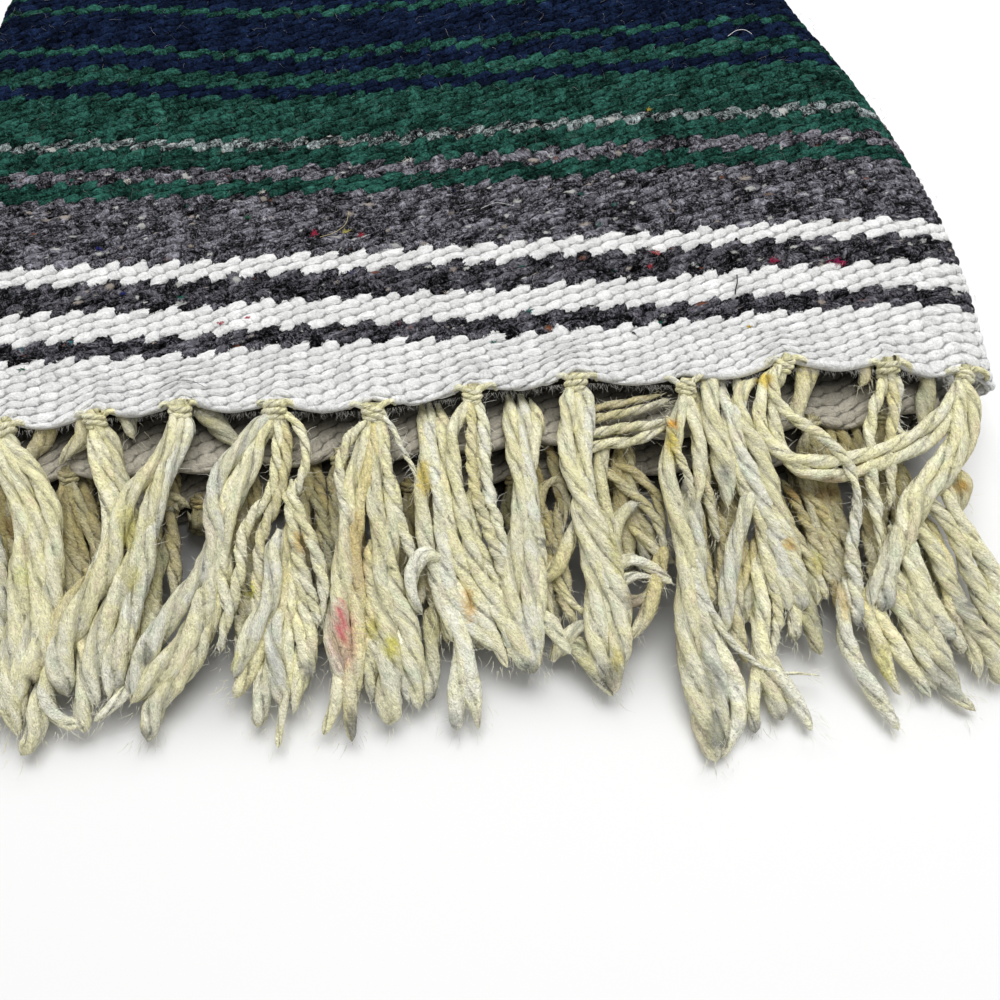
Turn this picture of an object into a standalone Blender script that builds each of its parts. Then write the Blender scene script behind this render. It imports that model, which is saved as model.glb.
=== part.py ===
"""Striped woollen serape, folded flat with its fringed ends at the front.

The panel is folded in four across its width and once along its length, so that
eight layers of cloth lie on each other. Metres, +Z up, +X along the fringed edge,
+Y from the fringe to the back fold. The origin is under the middle of the piece.
"""
import math
from collections import namedtuple

import bmesh
import bpy
from mathutils import Vector

MM = 0.001

# Cloth and folds
WALL = 3.0 * MM                     # thickness of the weft-faced cloth
GAP = 0.3 * MM                      # clearance between pieces that touch
STACK = 27.0 * MM                   # height of the eight layers
DEPTH = 900.0 * MM                  # fringed edge to back fold
FOLD_REACH = 13.0 * MM              # a side fold rounds in this far from the outline
FOLD_DROP = STACK / 4               # half the height of a side fold around four layers
BACK_REACH = 15.0 * MM              # the back fold rounds in this far
FOLD_TURN = math.radians(128.0)     # the top layer shows this far round a side fold
BACK_TURN = math.radians(164.0)     # and this far round the back fold
FOLD_STEPS = 4                      # flats round a side fold
BACK_STEPS = 5                      # flats round the back fold
CROWN = 1.2 * MM                    # the pile is this much lower at its side folds
SCALLOP = 3.0 * MM                  # the front edge bulges this far between two knots
FLATTENING = 120.0 * MM             # the crown fades out this far before the back fold

# Outline of the folded cloth, at distances behind the front edge
Station = namedtuple("Station", "y left right")
OUTLINE = (
    Station(-25 * MM, -138.0 * MM, 137.5 * MM),
    Station(0 * MM, -139.0 * MM, 140.8 * MM),
    Station(24 * MM, -139.6 * MM, 142.5 * MM),
    Station(48 * MM, -139.6 * MM, 141.5 * MM),
    Station(80 * MM, -138.6 * MM, 136.2 * MM),
    Station(105 * MM, -137.2 * MM, 128.8 * MM),
    Station(141 * MM, -133.4 * MM, 115.6 * MM),
    Station(200 * MM, -124.0 * MM, 106.5 * MM),
    Station(300 * MM, -120.0 * MM, 103.0 * MM),
    Station(560 * MM, -120.5 * MM, 105.0 * MM),
    Station(900 * MM, -122.0 * MM, 107.0 * MM),
)

# Long soft creases of the pile: place and lean at the front, depth, width, ends
Crease = namedtuple("Crease", "x lean depth width start end")
CREASES = (
    Crease(-52 * MM, 0.05, 0.9 * MM, 16 * MM, 30 * MM, 420 * MM),
    Crease(38 * MM, -0.06, 1.1 * MM, 20 * MM, 60 * MM, 560 * MM),
    Crease(86 * MM, -0.10, 0.8 * MM, 14 * MM, 20 * MM, 300 * MM),
    Crease(-30 * MM, 0.02, 1.0 * MM, 22 * MM, 380 * MM, 820 * MM),
    Crease(52 * MM, 0.02, 0.8 * MM, 18 * MM, 520 * MM, 840 * MM),
)

# Cross rows of the solids, behind the front edge; the layers below start at the second
ROWS = tuple(y * MM for y in (0, 10, 48, 90, 141, 200, 300, 460, 680, 885))
PILE_FRONT = 1

# Sides of the hidden layers: lobes from the top down, each a fold or a pair of edges
Lobe = namedtuple("Lobe", "low high inset reach")
RIGHT_LOBES = (Lobe(0.0, 13.2 * MM, 1.5 * MM, 11.0 * MM),)
LEFT_LOBES = (
    Lobe(6.9 * MM, 13.2 * MM, 2.5 * MM, 5.5 * MM),
    Lobe(0.0, 6.6 * MM, 0.5 * MM, 5.5 * MM),
)
GROOVE = 9.0 * MM                   # the grooves between lobes are this deep
STEP_INSET = 14.0 * MM              # the front steps of the pile stop short of its sides
TUCK_DROP = 9.2 * MM                # the top layer's fold tucks in this far below its face
LOBE_STEPS = 4                      # flats round a lobe
LOBE_START = math.radians(36.0)     # a lobe leaves its groove at this angle
NOSE_INSET = 10.0 * MM              # the layers inside the back fold stop short at the sides
NOSE_GAP = 0.9 * MM                 # and are this clear of it
NOSE_SHARES = (0.25, 0.55, 0.8, 0.97)   # sections of that rounded nose

# Stretches of the lower layers that show at the front, each a step below the last
Step = namedtuple("Step", "name knots edge back top left right")

# A fringe row: columns and tiers of strands in a tassel, the row's spread at its tips,
# the height of its knots, and the way of its strands as (forward of the top layer's
# edge, above the floor) in millimetres
Row = namedtuple("Row", "name layer knots columns tiers left right rise knot way vary")

TOP_KNOTS = tuple(x * MM for x in (-129, -109.7, -88.2, -66.4, -42.4, -19.8,
                                   5.5, 32.3, 59.1, 86.3, 110.0, 131.5))
SECOND_KNOTS = tuple(x * MM for x in (-114, -97, -75, -52, -29, -6, 18, 43, 69, 92, 111))
THIRD_KNOTS = tuple(x * MM for x in (-118, -93, -66, -39, -12, 15, 41, 66, 91, 114))
BOTTOM_KNOTS = tuple(x * MM for x in (-115, -89, -64, -38, -11, 14, 39, 65, 90, 113))

STEPS = (
    Step("second_layer", SECOND_KNOTS, -9.0 * MM, 9.7 * MM, 20.0 * MM, -125 * MM, 126 * MM),
    Step("third_layer", THIRD_KNOTS, -15.0 * MM, -3.3 * MM, 12.0 * MM, -127 * MM, 123 * MM),
    Step("bottom_layer", BOTTOM_KNOTS, -15.0 * MM, -6.3 * MM, 3.0 * MM, -128 * MM, 122 * MM),
)

FRINGE = (
    Row("fringe_top", "top_layer", TOP_KNOTS, 3, 2, -140 * MM, 143 * MM, -0.4 * MM, 2.3 * MM,
        ((12, 24.8), (28, 19.2), (44, 13.0), (68, 10.6), (86, 2.4)), 10 * MM),
    Row("fringe_second", "second_layer", SECOND_KNOTS, 2, 2, -134 * MM, 135 * MM,
        -1.6 * MM, 2.2 * MM, ((18, 16.5), (28, 12.5), (42, 8.7), (66, 7.5)), 6 * MM),
    Row("fringe_third", "third_layer", THIRD_KNOTS, 3, 1, -136 * MM, 137 * MM,
        -2.6 * MM, 1.6 * MM, ((24, 7.3), (34, 5.6), (47, 4.8), (62, 4.7)), 6 * MM),
    Row("fringe_bottom", "bottom_layer", BOTTOM_KNOTS, 3, 1, -134 * MM, 136 * MM,
        0.5 * MM, 1.3 * MM, ((30, 1.9), (44, 1.9), (58, 1.9)), 6 * MM),
)

# Fringe strands and their heads
STRIP_DEEP = 1.3 * MM               # the woven edge strip that carries a row's knots
STRIP_HALF = 0.8 * MM
HEAD_HALF = 3.6 * MM                # half the width of a tassel's head
HEAD_FORWARD = (2.6 * MM, 5.2 * MM)     # fullest point and neck of a head
NECK_HALF = 1.6 * MM
STRAND_HALF = 1.1 * MM
ROOT_HALF = 0.95 * MM               # a strand is thinner next to its knot
TIP_SHARE = 0.45                    # and tapers to this share at its tip
FAN_LENGTH = 36.0 * MM              # strands spread out over this length
TIER_DROP = 3.0 * MM                # a lower tier hangs this far under the upper
SETTLE = (28.0 * MM, 42.0 * MM)     # and comes level with it between these distances
SWAY = 2.2 * MM                     # side sway of the strands
SWAY_LENGTH = 70.0 * MM
SWAY_PHASE = 31.0                   # sway's change across the row, per metre

# Colours, roughness
FINISHES = {
    "top_layer": ((0.050, 0.115, 0.085), 0.95),
    "folded_layers": ((0.30, 0.30, 0.30), 0.95),
    "second_layer": ((0.62, 0.62, 0.60), 0.95),
    "third_layer": ((0.55, 0.55, 0.53), 0.95),
    "bottom_layer": ((0.50, 0.50, 0.48), 0.95),
    "fringe_top": ((0.76, 0.73, 0.50), 0.90),
    "fringe_second": ((0.70, 0.66, 0.44), 0.90),
    "fringe_third": ((0.62, 0.58, 0.38), 0.90),
    "fringe_bottom": ((0.56, 0.52, 0.34), 0.90),
}


# Small helpers

def smooth(t):
    """Eased step from 0 to 1."""
    t = min(max(t, 0.0), 1.0)
    return t * t * (3.0 - 2.0 * t)


def mix(a, b, t):
    return a + (b - a) * t


def wobble(index, seed):
    """A repeatable value between 0 and 1 for the strand of this index."""
    return math.sin(index * 12.9898 + seed * 78.233) * 43758.5453 % 1.0


def hermite(rows, field, y):
    """A column of a table as a smooth curve through its rows."""
    i = max(j for j in range(len(rows) - 1) if j == 0 or rows[j].y <= y)

    def slope(j):
        low, high = rows[max(j - 1, 0)], rows[min(j + 1, len(rows) - 1)]
        return (getattr(high, field) - getattr(low, field)) / (high.y - low.y)

    span = rows[i + 1].y - rows[i].y
    t = min(max((y - rows[i].y) / span, 0.0), 1.0)
    start, end = getattr(rows[i], field), getattr(rows[i + 1], field)
    return ((2 * t ** 3 - 3 * t ** 2 + 1) * start + (t ** 3 - 2 * t ** 2 + t) * span * slope(i)
            + (3 * t ** 2 - 2 * t ** 3) * end + (t ** 3 - t ** 2) * span * slope(i + 1))


# Form of the folded pile

def outline(y):
    """Left and right side of the pile at this distance behind the front edge."""
    return hermite(OUTLINE, "left", y), hermite(OUTLINE, "right", y)


def fold_starts(y):
    """Where the side folds start to round down."""
    left, right = outline(y)
    return left + FOLD_REACH, right - FOLD_REACH


def top_height(x, y):
    """Height of the pile's upper face, crowned and softly creased along the warp."""
    left, right = outline(y)
    off_middle = (2.0 * x - left - right) / (right - left)
    drop = CROWN * off_middle ** 2
    for crease in CREASES:
        side = (x - crease.x - crease.lean * y) / crease.width
        along = (y - crease.start) / (crease.end - crease.start)
        if 0.0 < along < 1.0:
            drop += crease.depth * math.exp(-side ** 2) * math.sin(math.pi * along)
    return STACK - drop * (1.0 - smooth((y - ROWS[-1] + FLATTENING) / FLATTENING))


def scallop(x, knots):
    """How far the edge bulges forward at x: not at all at a knot, most between two."""
    for left, right in zip(knots, knots[1:]):
        if left <= x <= right:
            return SCALLOP * (1.0 - abs(2.0 * (x - left) / (right - left) - 1.0))
    return 0.0


def scallop_ends(knots, left, right):
    """Knots between left and right, with these two as the ends of the scallops."""
    return (left,) + tuple(x for x in knots if left < x < right) + (right,)


def scallop_points(ends):
    """The ends of the scallops and the fullest point of each."""
    points = [ends[0]]
    for left, right in zip(ends, ends[1:]):
        points += [(left + right) / 2.0, right]
    return points


TOP_ENDS = scallop_ends(TOP_KNOTS, *fold_starts(0.0))
TOP_POINTS = scallop_points(TOP_ENDS)
TOP_SHARES = tuple((x - TOP_POINTS[0]) / (TOP_POINTS[-1] - TOP_POINTS[0]) for x in TOP_POINTS)


def top_section(y, depth):
    """Cross-section of the top layer at this depth below its face, from left to right."""
    left, right = fold_starts(y)
    angles = [FOLD_TURN * (i + 1) / FOLD_STEPS for i in range(FOLD_STEPS)]

    def round_side(start, way, angle):
        x = start + way * (FOLD_REACH - depth) * math.sin(angle)
        fall = (FOLD_DROP - depth) * (1.0 - math.cos(angle))
        return x, top_height(start, y) - depth - fall

    section = [round_side(left, -1.0, angle) for angle in reversed(angles)]
    section += [(mix(left, right, t), top_height(mix(left, right, t), y) - depth)
                for t in TOP_SHARES]
    section += [round_side(right, 1.0, angle) for angle in angles]
    return section


# Building closed bodies

def add_piece(name, bm):
    """Finish a body as a named object with a material of its own."""
    bmesh.ops.recalc_face_normals(bm, faces=bm.faces)
    mesh = bpy.data.meshes.new(name)
    bm.to_mesh(mesh)
    bm.free()
    piece = bpy.data.objects.new(name, mesh)
    bpy.context.collection.objects.link(piece)
    colour, roughness = FINISHES[name]
    material = bpy.data.materials.new(name)
    material.use_nodes = True
    shader = material.node_tree.nodes["Principled BSDF"]
    shader.inputs["Base Color"].default_value = (*colour, 1.0)
    shader.inputs["Roughness"].default_value = roughness
    mesh.materials.append(material)
    return piece


def wall_from(bm, outer, inner):
    """A closed wall between two grids of points, rows by columns."""
    outer = [[bm.verts.new(p) for p in row] for row in outer]
    inner = [[bm.verts.new(p) for p in row] for row in inner]
    rows, columns = len(outer), len(outer[0])
    for grid in (outer, inner):
        for r in range(rows - 1):
            for c in range(columns - 1):
                bm.faces.new((grid[r][c], grid[r][c + 1], grid[r + 1][c + 1], grid[r + 1][c]))
    for c in range(columns - 1):
        for r in (0, rows - 1):
            bm.faces.new((outer[r][c], outer[r][c + 1], inner[r][c + 1], inner[r][c]))
    for r in range(rows - 1):
        for c in (0, columns - 1):
            bm.faces.new((outer[r][c], outer[r + 1][c], inner[r + 1][c], inner[r][c]))


def bridge(bm, one, other):
    """Side faces between two rings of equal length."""
    for i in range(len(one)):
        j = (i + 1) % len(one)
        bm.faces.new((one[i], one[j], other[j], other[i]))


# Cloth

def make_top_layer():
    """The layer on top: flat, turned down at both side folds and round the back fold."""
    bm = bmesh.new()
    grids = []
    for depth in (0.0, WALL):
        rows = []
        for y in ROWS:
            section = top_section(y, depth)
            edge = [scallop(x, TOP_ENDS) if y == 0.0 else 0.0 for x, z in section]
            rows.append([(x, y - forward, z) for (x, z), forward in zip(section, edge)])
        half = STACK / 2.0
        for i in range(BACK_STEPS):
            turn = BACK_TURN * (i + 1) / BACK_STEPS
            rows.append([(x, ROWS[-1] + BACK_REACH * (z / half - 1.0) * math.sin(turn),
                          half + (z - half) * math.cos(turn))
                         for x, z in top_section(ROWS[-1], depth)])
        grids.append(rows)
    wall_from(bm, *grids)
    return add_piece("top_layer", bm)


def lobe_points(lobe, side, way):
    """Points round a lobe from its top to its bottom, on the side that way points to."""
    last = math.pi if lobe.low == 0.0 else math.pi - LOBE_START
    middle = (lobe.low + lobe.high) / 2.0
    half = (lobe.high - lobe.low) / 2.0
    start = side - way * (lobe.inset + lobe.reach)
    points = []
    for i in range(LOBE_STEPS + 1):
        angle = mix(LOBE_START, last, i / LOBE_STEPS)
        points.append((start + way * lobe.reach * math.sin(angle), middle + half * math.cos(angle)))
    return points


def pile_section(y):
    """Closed cross-section of the hidden layers, from the bottom left, clockwise."""
    left, right = outline(y)
    upper = top_section(y, WALL + GAP)[1:-1]

    def tuck(start, side, way):
        low = top_height(start, y) - TUCK_DROP
        return [(side - way * GROOVE, low), (side - way * GROOVE, STACK / 2.0)]

    left_start, right_start = fold_starts(y)
    left_side = tuck(left_start, left, -1.0)
    for lobe in LEFT_LOBES:
        left_side += lobe_points(lobe, left, -1.0)
        if lobe.low > 0.0:
            left_side.append((left + lobe.inset + GROOVE, lobe.low - GAP / 2.0))
    right_side = tuck(right_start, right, 1.0)
    for lobe in RIGHT_LOBES:
        right_side += lobe_points(lobe, right, 1.0)
    return ([(left + STEP_INSET, 0.0)] + left_side[::-1] + upper + right_side
            + [(right - STEP_INSET, 0.0)])


def add_steps(bm, ring):
    """Close the pile's front with the steps that the lower stretches of cloth lie on."""
    heights = [step.top - WALL - GAP for step in STEPS[:-1]]
    fronts = [step.back + GAP for step in STEPS[1:]]

    def pair(y, z):
        return [bm.verts.new((corner.co.x, y, z)) for corner in (ring[0], ring[-1])]

    low = [ring[0], ring[-1]]
    high = pair(ROWS[PILE_FRONT], heights[0])
    bm.faces.new(ring + high[::-1])
    for i, front in enumerate(fronts):
        next_low = pair(front, 0.0)
        next_high = pair(front, heights[i])
        shelf = pair(front, heights[i + 1]) if i + 1 < len(heights) else next_low
        for side in (0, 1):
            corners = [low[side], high[side], next_high[side], shelf[side], next_low[side]]
            bm.faces.new(list(dict.fromkeys(corners)))
        for one, other in ((low, next_low), (high, next_high), (shelf, next_high)):
            bm.faces.new((one[0], one[1], other[1], other[0]))
        low, high = next_low, shelf


def make_folded_layers():
    """The hidden layers as one rounded solid, stepped at the front, lobed at the sides."""
    bm = bmesh.new()
    rings = []
    for y in ROWS[PILE_FRONT:]:
        rings.append([bm.verts.new((x, y, z)) for x, z in pile_section(y)])
    end = ROWS[-1]
    left, right = outline(end)
    middle, half = (left + right) / 2.0, STACK / 2.0
    height_share = (half - WALL - NOSE_GAP) / half
    width_share = 1.0 - 2.0 * NOSE_INSET / (right - left)
    for share in NOSE_SHARES:
        scale = height_share * math.sqrt(1.0 - share ** 2)
        rings.append([bm.verts.new((mix(middle, x, width_share),
                                    end + BACK_REACH * height_share * share,
                                    half + (z - half) * scale)) for x, z in pile_section(end)])
    for one, other in zip(rings, rings[1:]):
        bridge(bm, one, other)
    bm.faces.new(rings[-1])
    add_steps(bm, rings[0])
    return add_piece("folded_layers", bm)


def make_step_layer(step):
    """A stretch of a lower layer that shows at the front, with its scalloped edge."""
    bm = bmesh.new()
    ends = scallop_ends(step.knots, step.left, step.right)
    grids = []
    for z in (step.top, step.top - WALL):
        grids.append([[(x, step.edge - scallop(x, ends), z) for x in scallop_points(ends)],
                      [(x, step.back, z) for x in scallop_points(ends)]])
    wall_from(bm, *grids)
    return add_piece(step.name, bm)


# Fringe

def edge_of(row, x):
    """Front edge of a row's layer at x, and the height of the middle of its wall."""
    if row.layer == "top_layer":
        left, right = fold_starts(0.0)
        past = max(left - x, x - right, 0.0)
        start = min(max(x, left), right)
        angle = math.asin(min(past / (FOLD_REACH - WALL / 2.0), 1.0))
        fall = (FOLD_DROP - WALL / 2.0) * (1.0 - math.cos(angle))
        return -scallop(x, TOP_ENDS), top_height(start, 0.0) - WALL / 2.0 - fall
    step = next(s for s in STEPS if s.name == row.layer)
    ends = scallop_ends(step.knots, step.left, step.right)
    return step.edge - scallop(x, ends), step.top - WALL / 2.0


def strand_way(row, index, tier, root, low):
    """Centres of a strand from just past its knot to its tip; low is its knot's drop."""
    strands = len(row.knots) * row.columns * row.tiers
    lane = mix(row.left, row.right, (index + 0.5) / strands)
    reach = [forward * MM for forward, height in row.way]
    heights = [height * MM for forward, height in row.way]
    tip = reach[-1] - row.vary * wobble(index, row.columns)
    heights[-1] = mix(heights[-2], heights[-1], (tip - reach[-2]) / (reach[-1] - reach[-2]))
    reach[-1] = tip
    points = []
    for forward, height in zip(reach, heights):
        gone = forward + root.y
        spread = min(gone / FAN_LENGTH, 1.0)
        settled = smooth((forward - SETTLE[0]) / (SETTLE[1] - SETTLE[0]))
        if tier == 0 and row.tiers > 1:
            height -= TIER_DROP * (1.0 - settled)
        height -= low * (1.0 - smooth(gone / FAN_LENGTH))
        sway = SWAY * spread * math.sin(math.tau * forward / SWAY_LENGTH + SWAY_PHASE * lane)
        points.append(Vector((mix(root.x, lane, spread) + sway, -forward, height)))
    return points


def add_strand(bm, root, points):
    """Grow a four-sided strand from a quad of a tassel's neck along these points."""
    ring = root
    before = sum((v.co for v in root), Vector()) / len(root)
    for i, point in enumerate(points):
        after = points[min(i + 1, len(points) - 1)]
        along = (after - before).normalized()
        up = Vector((0.0, -along.z, along.y)).normalized()
        if up.z < 0.0:
            up.negate()
        half = ROOT_HALF if i == 0 else STRAND_HALF
        if i == len(points) - 1:
            half = STRAND_HALF * TIP_SHARE
        corners = [point + Vector((side * half, 0.0, 0.0)) + up * (rise * half)
                   for side, rise in ((-1, -1), (1, -1), (1, 1), (-1, 1))]
        next_ring = [bm.verts.new(corner) for corner in corners]
        bridge(bm, ring, next_ring)
        ring, before = next_ring, point
    bm.faces.new(ring)


def edge_grid(bm, row, x, levels):
    """A column of points up the front of a row's strip at x, one more than its levels."""
    y, z = edge_of(row, x)
    front = y - GAP - STRIP_DEEP
    return [bm.verts.new((x, front, z + STRIP_HALF * (2.0 * i / levels - 1.0)))
            for i in range(levels + 1)]


def perimeter(grid):
    """The rim of a grid of points, columns by levels, as a ring."""
    top = len(grid[0]) - 1
    return ([column[0] for column in grid] + grid[-1][1:top]
            + [column[top] for column in reversed(grid)] + grid[0][top - 1:0:-1])


def head_grid(bm, row, centre, half_wide, half_high):
    """Points of a tassel's head across the strands, columns by levels, rounded."""
    grid = []
    for c in range(row.columns + 1):
        a = 2.0 * c / row.columns - 1.0
        levels = []
        for t in range(row.tiers + 1):
            b = 2.0 * t / row.tiers - 1.0
            height = centre.z + half_high * b * math.sqrt(1.0 - a * a / 2.0)
            levels.append(bm.verts.new((centre.x + half_wide * a, centre.y, height)))
        grid.append(levels)
    return grid


def head_grid_rim(bm, row, centre):
    """The rim of a tassel's head at its fullest."""
    grid = head_grid(bm, row, centre, HEAD_HALF, row.knot)
    rim = perimeter(grid)
    for vertex in [v for column in grid for v in column if v not in rim]:
        bm.verts.remove(vertex)
    return rim


def make_fringe(row):
    """A row of knotted tassels on a narrow strip along the front edge of their layer."""
    bm = bmesh.new()
    ends = TOP_ENDS if row.layer == "top_layer" else scallop_ends(
        row.knots, *[(s.left, s.right) for s in STEPS if s.name == row.layer][0])
    heads = [[knot + HEAD_HALF * (2.0 * c / row.columns - 1.0) for c in range(row.columns + 1)]
             for knot in row.knots]
    low_end, high_end = heads[0][0] - STRIP_DEEP, heads[-1][-1] + STRIP_DEEP
    between = [x for x in scallop_points(ends) if low_end < x < high_end
               and all(abs(x - knot) > HEAD_HALF for knot in row.knots)]
    stations = sorted([low_end, high_end] + between + [x for head in heads for x in head])

    fronts, backs = {}, {}
    for x in stations:
        fronts[x] = edge_grid(bm, row, x, row.tiers)
        y, z = edge_of(row, x)
        backs[x] = [bm.verts.new((x, y - GAP, z + way * STRIP_HALF)) for way in (-1, 1)]
    for x, after in zip(stations, stations[1:]):
        front, next_front = fronts[x], fronts[after]
        back, next_back = backs[x], backs[after]
        bm.faces.new((back[0], next_back[0], next_back[1], back[1]))
        bm.faces.new((back[0], next_back[0], next_front[0], front[0]))
        bm.faces.new((back[1], next_back[1], next_front[-1], front[-1]))
        if not any(head[0] <= x < head[-1] for head in heads):
            for t in range(row.tiers):
                bm.faces.new((front[t], next_front[t], next_front[t + 1], front[t + 1]))
    for x in (stations[0], stations[-1]):
        bm.faces.new([backs[x][0], *fronts[x], backs[x][1]])

    index = 0
    for knot, head in zip(row.knots, heads):
        y, z = edge_of(row, knot)
        front = y - GAP - STRIP_DEEP
        full = head_grid_rim(bm, row, Vector((knot, front - HEAD_FORWARD[0], z + row.rise / 2)))
        neck = head_grid(bm, row, Vector((knot, front - HEAD_FORWARD[1], z + row.rise)),
                         HEAD_HALF, NECK_HALF)
        bridge(bm, perimeter([fronts[x] for x in head]), full)
        bridge(bm, full, perimeter(neck))
        flat_x = min(max(knot, ends[0]), ends[-1])
        low = edge_of(row, flat_x)[1] - z
        for c in range(row.columns):
            for t in range(row.tiers):
                root = [neck[c][t], neck[c + 1][t], neck[c + 1][t + 1], neck[c][t + 1]]
                middle = sum((v.co for v in root), Vector()) / len(root)
                add_strand(bm, root, strand_way(row, index, t, middle, low))
                index += 1
    return add_piece(row.name, bm)


def stand_on_origin(pieces):
    """Move the whole piece so that the origin is under the middle of its box."""
    corners = [v.co for piece in pieces for v in piece.data.vertices]
    shift = Vector((-(min(c.x for c in corners) + max(c.x for c in corners)) / 2.0,
                    -(min(c.y for c in corners) + max(c.y for c in corners)) / 2.0, 0.0))
    for piece in pieces:
        for vertex in piece.data.vertices:
            vertex.co += shift
        piece.data.update()


def main():
    for old in list(bpy.data.objects):
        bpy.data.objects.remove(old)
    pieces = [make_top_layer(), make_folded_layers()]
    pieces += [make_step_layer(step) for step in STEPS]
    pieces += [make_fringe(row) for row in FRINGE]
    stand_on_origin(pieces)


main()
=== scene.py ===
"""Striped woollen serape, folded flat, with the knotted fringe of its front end.

The cloth is weft-faced: thick soft weft rows cover the warp, and the warp ends are knotted
into tassels. It is folded in four across and once along. Forms are worked out in millimetres
from the middle of the fringed edge, +X along the edge and +Y towards the back fold, and are
moved into the frame's metres when a piece is made.
"""
import math
from collections import namedtuple

import bpy
import numpy as np
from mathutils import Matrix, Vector


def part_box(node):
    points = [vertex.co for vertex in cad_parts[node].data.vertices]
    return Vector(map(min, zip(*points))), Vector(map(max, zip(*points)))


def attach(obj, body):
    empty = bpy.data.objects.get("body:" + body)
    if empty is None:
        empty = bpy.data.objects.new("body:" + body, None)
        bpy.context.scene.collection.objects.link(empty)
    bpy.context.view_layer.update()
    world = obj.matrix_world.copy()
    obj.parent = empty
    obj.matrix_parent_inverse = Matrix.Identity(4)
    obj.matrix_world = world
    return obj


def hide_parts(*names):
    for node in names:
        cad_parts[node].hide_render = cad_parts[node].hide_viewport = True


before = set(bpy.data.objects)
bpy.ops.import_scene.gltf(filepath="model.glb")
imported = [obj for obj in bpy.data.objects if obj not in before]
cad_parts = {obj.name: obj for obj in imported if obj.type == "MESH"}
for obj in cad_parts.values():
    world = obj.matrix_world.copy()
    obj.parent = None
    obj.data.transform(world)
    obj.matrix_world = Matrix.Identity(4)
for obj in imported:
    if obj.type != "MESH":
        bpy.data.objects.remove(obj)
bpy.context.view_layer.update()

bl_info = {
    "name": "Folded Serape",
    "version": (1, 0, 0),
    "blender": (4, 5, 0),
    "location": "3D View > Sidebar > Serape",
    "description": "A striped woollen serape, folded flat, with a knotted fringe",
    "category": "Add Mesh",
}

MM = 0.001


def table_of(kind, *rows):
    """Rows of values as named tuples of this kind."""
    return tuple(kind(*row) for row in rows)


# Form of the folded pile, in millimetres

WALL = 3.0  # thickness of a layer at its front edge
STACK = 27.0  # height of the eight layers
DEPTH = 885.0  # the back fold starts to round down here
FOLD_REACH = 13.0  # a side fold rounds in this far from the outline
FOLD_DROP = STACK / 4  # half the height of a side fold around four layers
BACK_REACH = 15.0  # the back fold swells back this far
FOLD_TURN = math.radians(150.0)  # the top layer goes this far round a side fold
BACK_TURN = math.radians(164.0)  # and this far round the back fold
CROWN = 1.2  # the sides lie this much lower than the middle
FLATTENING = 120.0  # the crown fades out this far before the back fold
GROOVE_TURN = math.radians(20.0)  # a lower fold leaves its groove at this angle
TUCK = 14.0  # the cloth is made this far in under its front edge

Station = namedtuple("Station", "y left right")
OUTLINE = table_of(
    Station,
    (-25, -138, 137.5), (0, -139, 140.8), (24, -139.6, 142.5), (48, -139.6, 141.5), (80, -138.6, 136.2),
    (105, -137.2, 128.8), (141, -133.4, 115.6), (200, -124, 106.5), (300, -120, 103), (560, -120.5, 105),
    (900, -122, 107),
)

# Long soft creases of the pile: place and lean at the front, depth, width, ends
Crease = namedtuple("Crease", "x lean depth width start end")
CREASES = table_of(
    Crease,
    (-52, 0.05, 0.9, 16, 30, 420), (38, -0.06, 1.1, 20, 60, 560), (86, -0.10, 0.8, 14, 20, 300),
    (-30, 0.02, 1, 22, 380, 820), (52, 0.02, 0.8, 18, 520, 840), (4, 0.03, -0.5, 11, 15, 210),
    (-92, 0.04, 0.5, 9, 40, 260),
)

# Dents and swellings of the side folds: place, length, depth
Dent = namedtuple("Dent", "y length depth")
LEFT_DENTS = table_of(
    Dent,
    (60, 26, 0.9), (150, 45, -0.7), (262, 38, 1.2), (410, 70, -0.8), (535, 44, 1.3), (702, 80, 0.8),
    (808, 36, -0.6),
)
RIGHT_DENTS = table_of(
    Dent,
    (92, 30, 0.7), (190, 52, 1.1), (318, 40, -0.8), (450, 62, 1), (590, 36, -0.7), (668, 58, 1.2),
    (800, 48, 0.6),
)

# Sides of the hidden layers
Lobe = namedtuple("Lobe", "low high inset reach")
RIGHT_LOBE = Lobe(0.0, 13.2, 1.5, 11.0)
LEFT_UPPER_LOBE = Lobe(6.9, 13.2, 2.5, 5.5)
LEFT_LOWER_LOBE = Lobe(0.0, 6.6, 0.5, 5.5)

# Knots along the top edge: place, and how far forward the edge is there
EdgeKnot = namedtuple("EdgeKnot", "x forward")
TOP_EDGE = table_of(
    EdgeKnot,
    (-150, 1), (-129, -1), (-110, -2), (-88.5, -4), (-67, -5), (-43.5, -2.5), (-19.5, -1), (5.5, -3.5),
    (32, -5), (59.5, -2), (86, -5), (112, -2.5), (131, 2), (150, 3),
)
HALF_FLAT = 128.0  # about half the width between the two side folds
SCALLOP = 3.2  # the edge bulges this far between two knots
SCALLOP_FADE = 17.0  # and the rows behind it straighten over this distance
DROOP_FADE = 11.0  # a lower edge droops over this distance

# Front stretches of the lower layers: knots, edge, back end, upper face, sides, how far the
# edge droops, and where painted shade darkens them under the layer above
Step = namedtuple("Step", "name knots edge back top left right droop dark")
STEPS = (
    Step("second_layer", (-114, -97, -75, -52, -29, -6, 18, 43, 69, 92, 111),
         -9.0, 9.7, 20.0, -125, 126, 1.4, -4.0),
    Step("third_layer", (-118, -93, -66, -39, -12, 15, 41, 66, 91, 114),
         -15.0, -3.3, 12.0, -127, 123, 1.8, -12.0),
    Step("bottom_layer", (-115, -89, -64, -38, -11, 14, 39, 65, 90, 113),
         -15.0, -6.3, 3.0, -128, 122, 0.0, -18.0),
)

PAINTED_SHADE_TINT = (0.58, 0.54, 0.45)  # painted shade: a dim warm tint of the lower layers' wool, which lies in the pile's shade
HIDDEN_SHADE = 0.14  # and the share of light that painted shade leaves deep between two layers


# Weave: a pick of weft shows as a plump grain over every second warp, and the grains of
# neighbouring picks run up to the right in slanting chains

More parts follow.
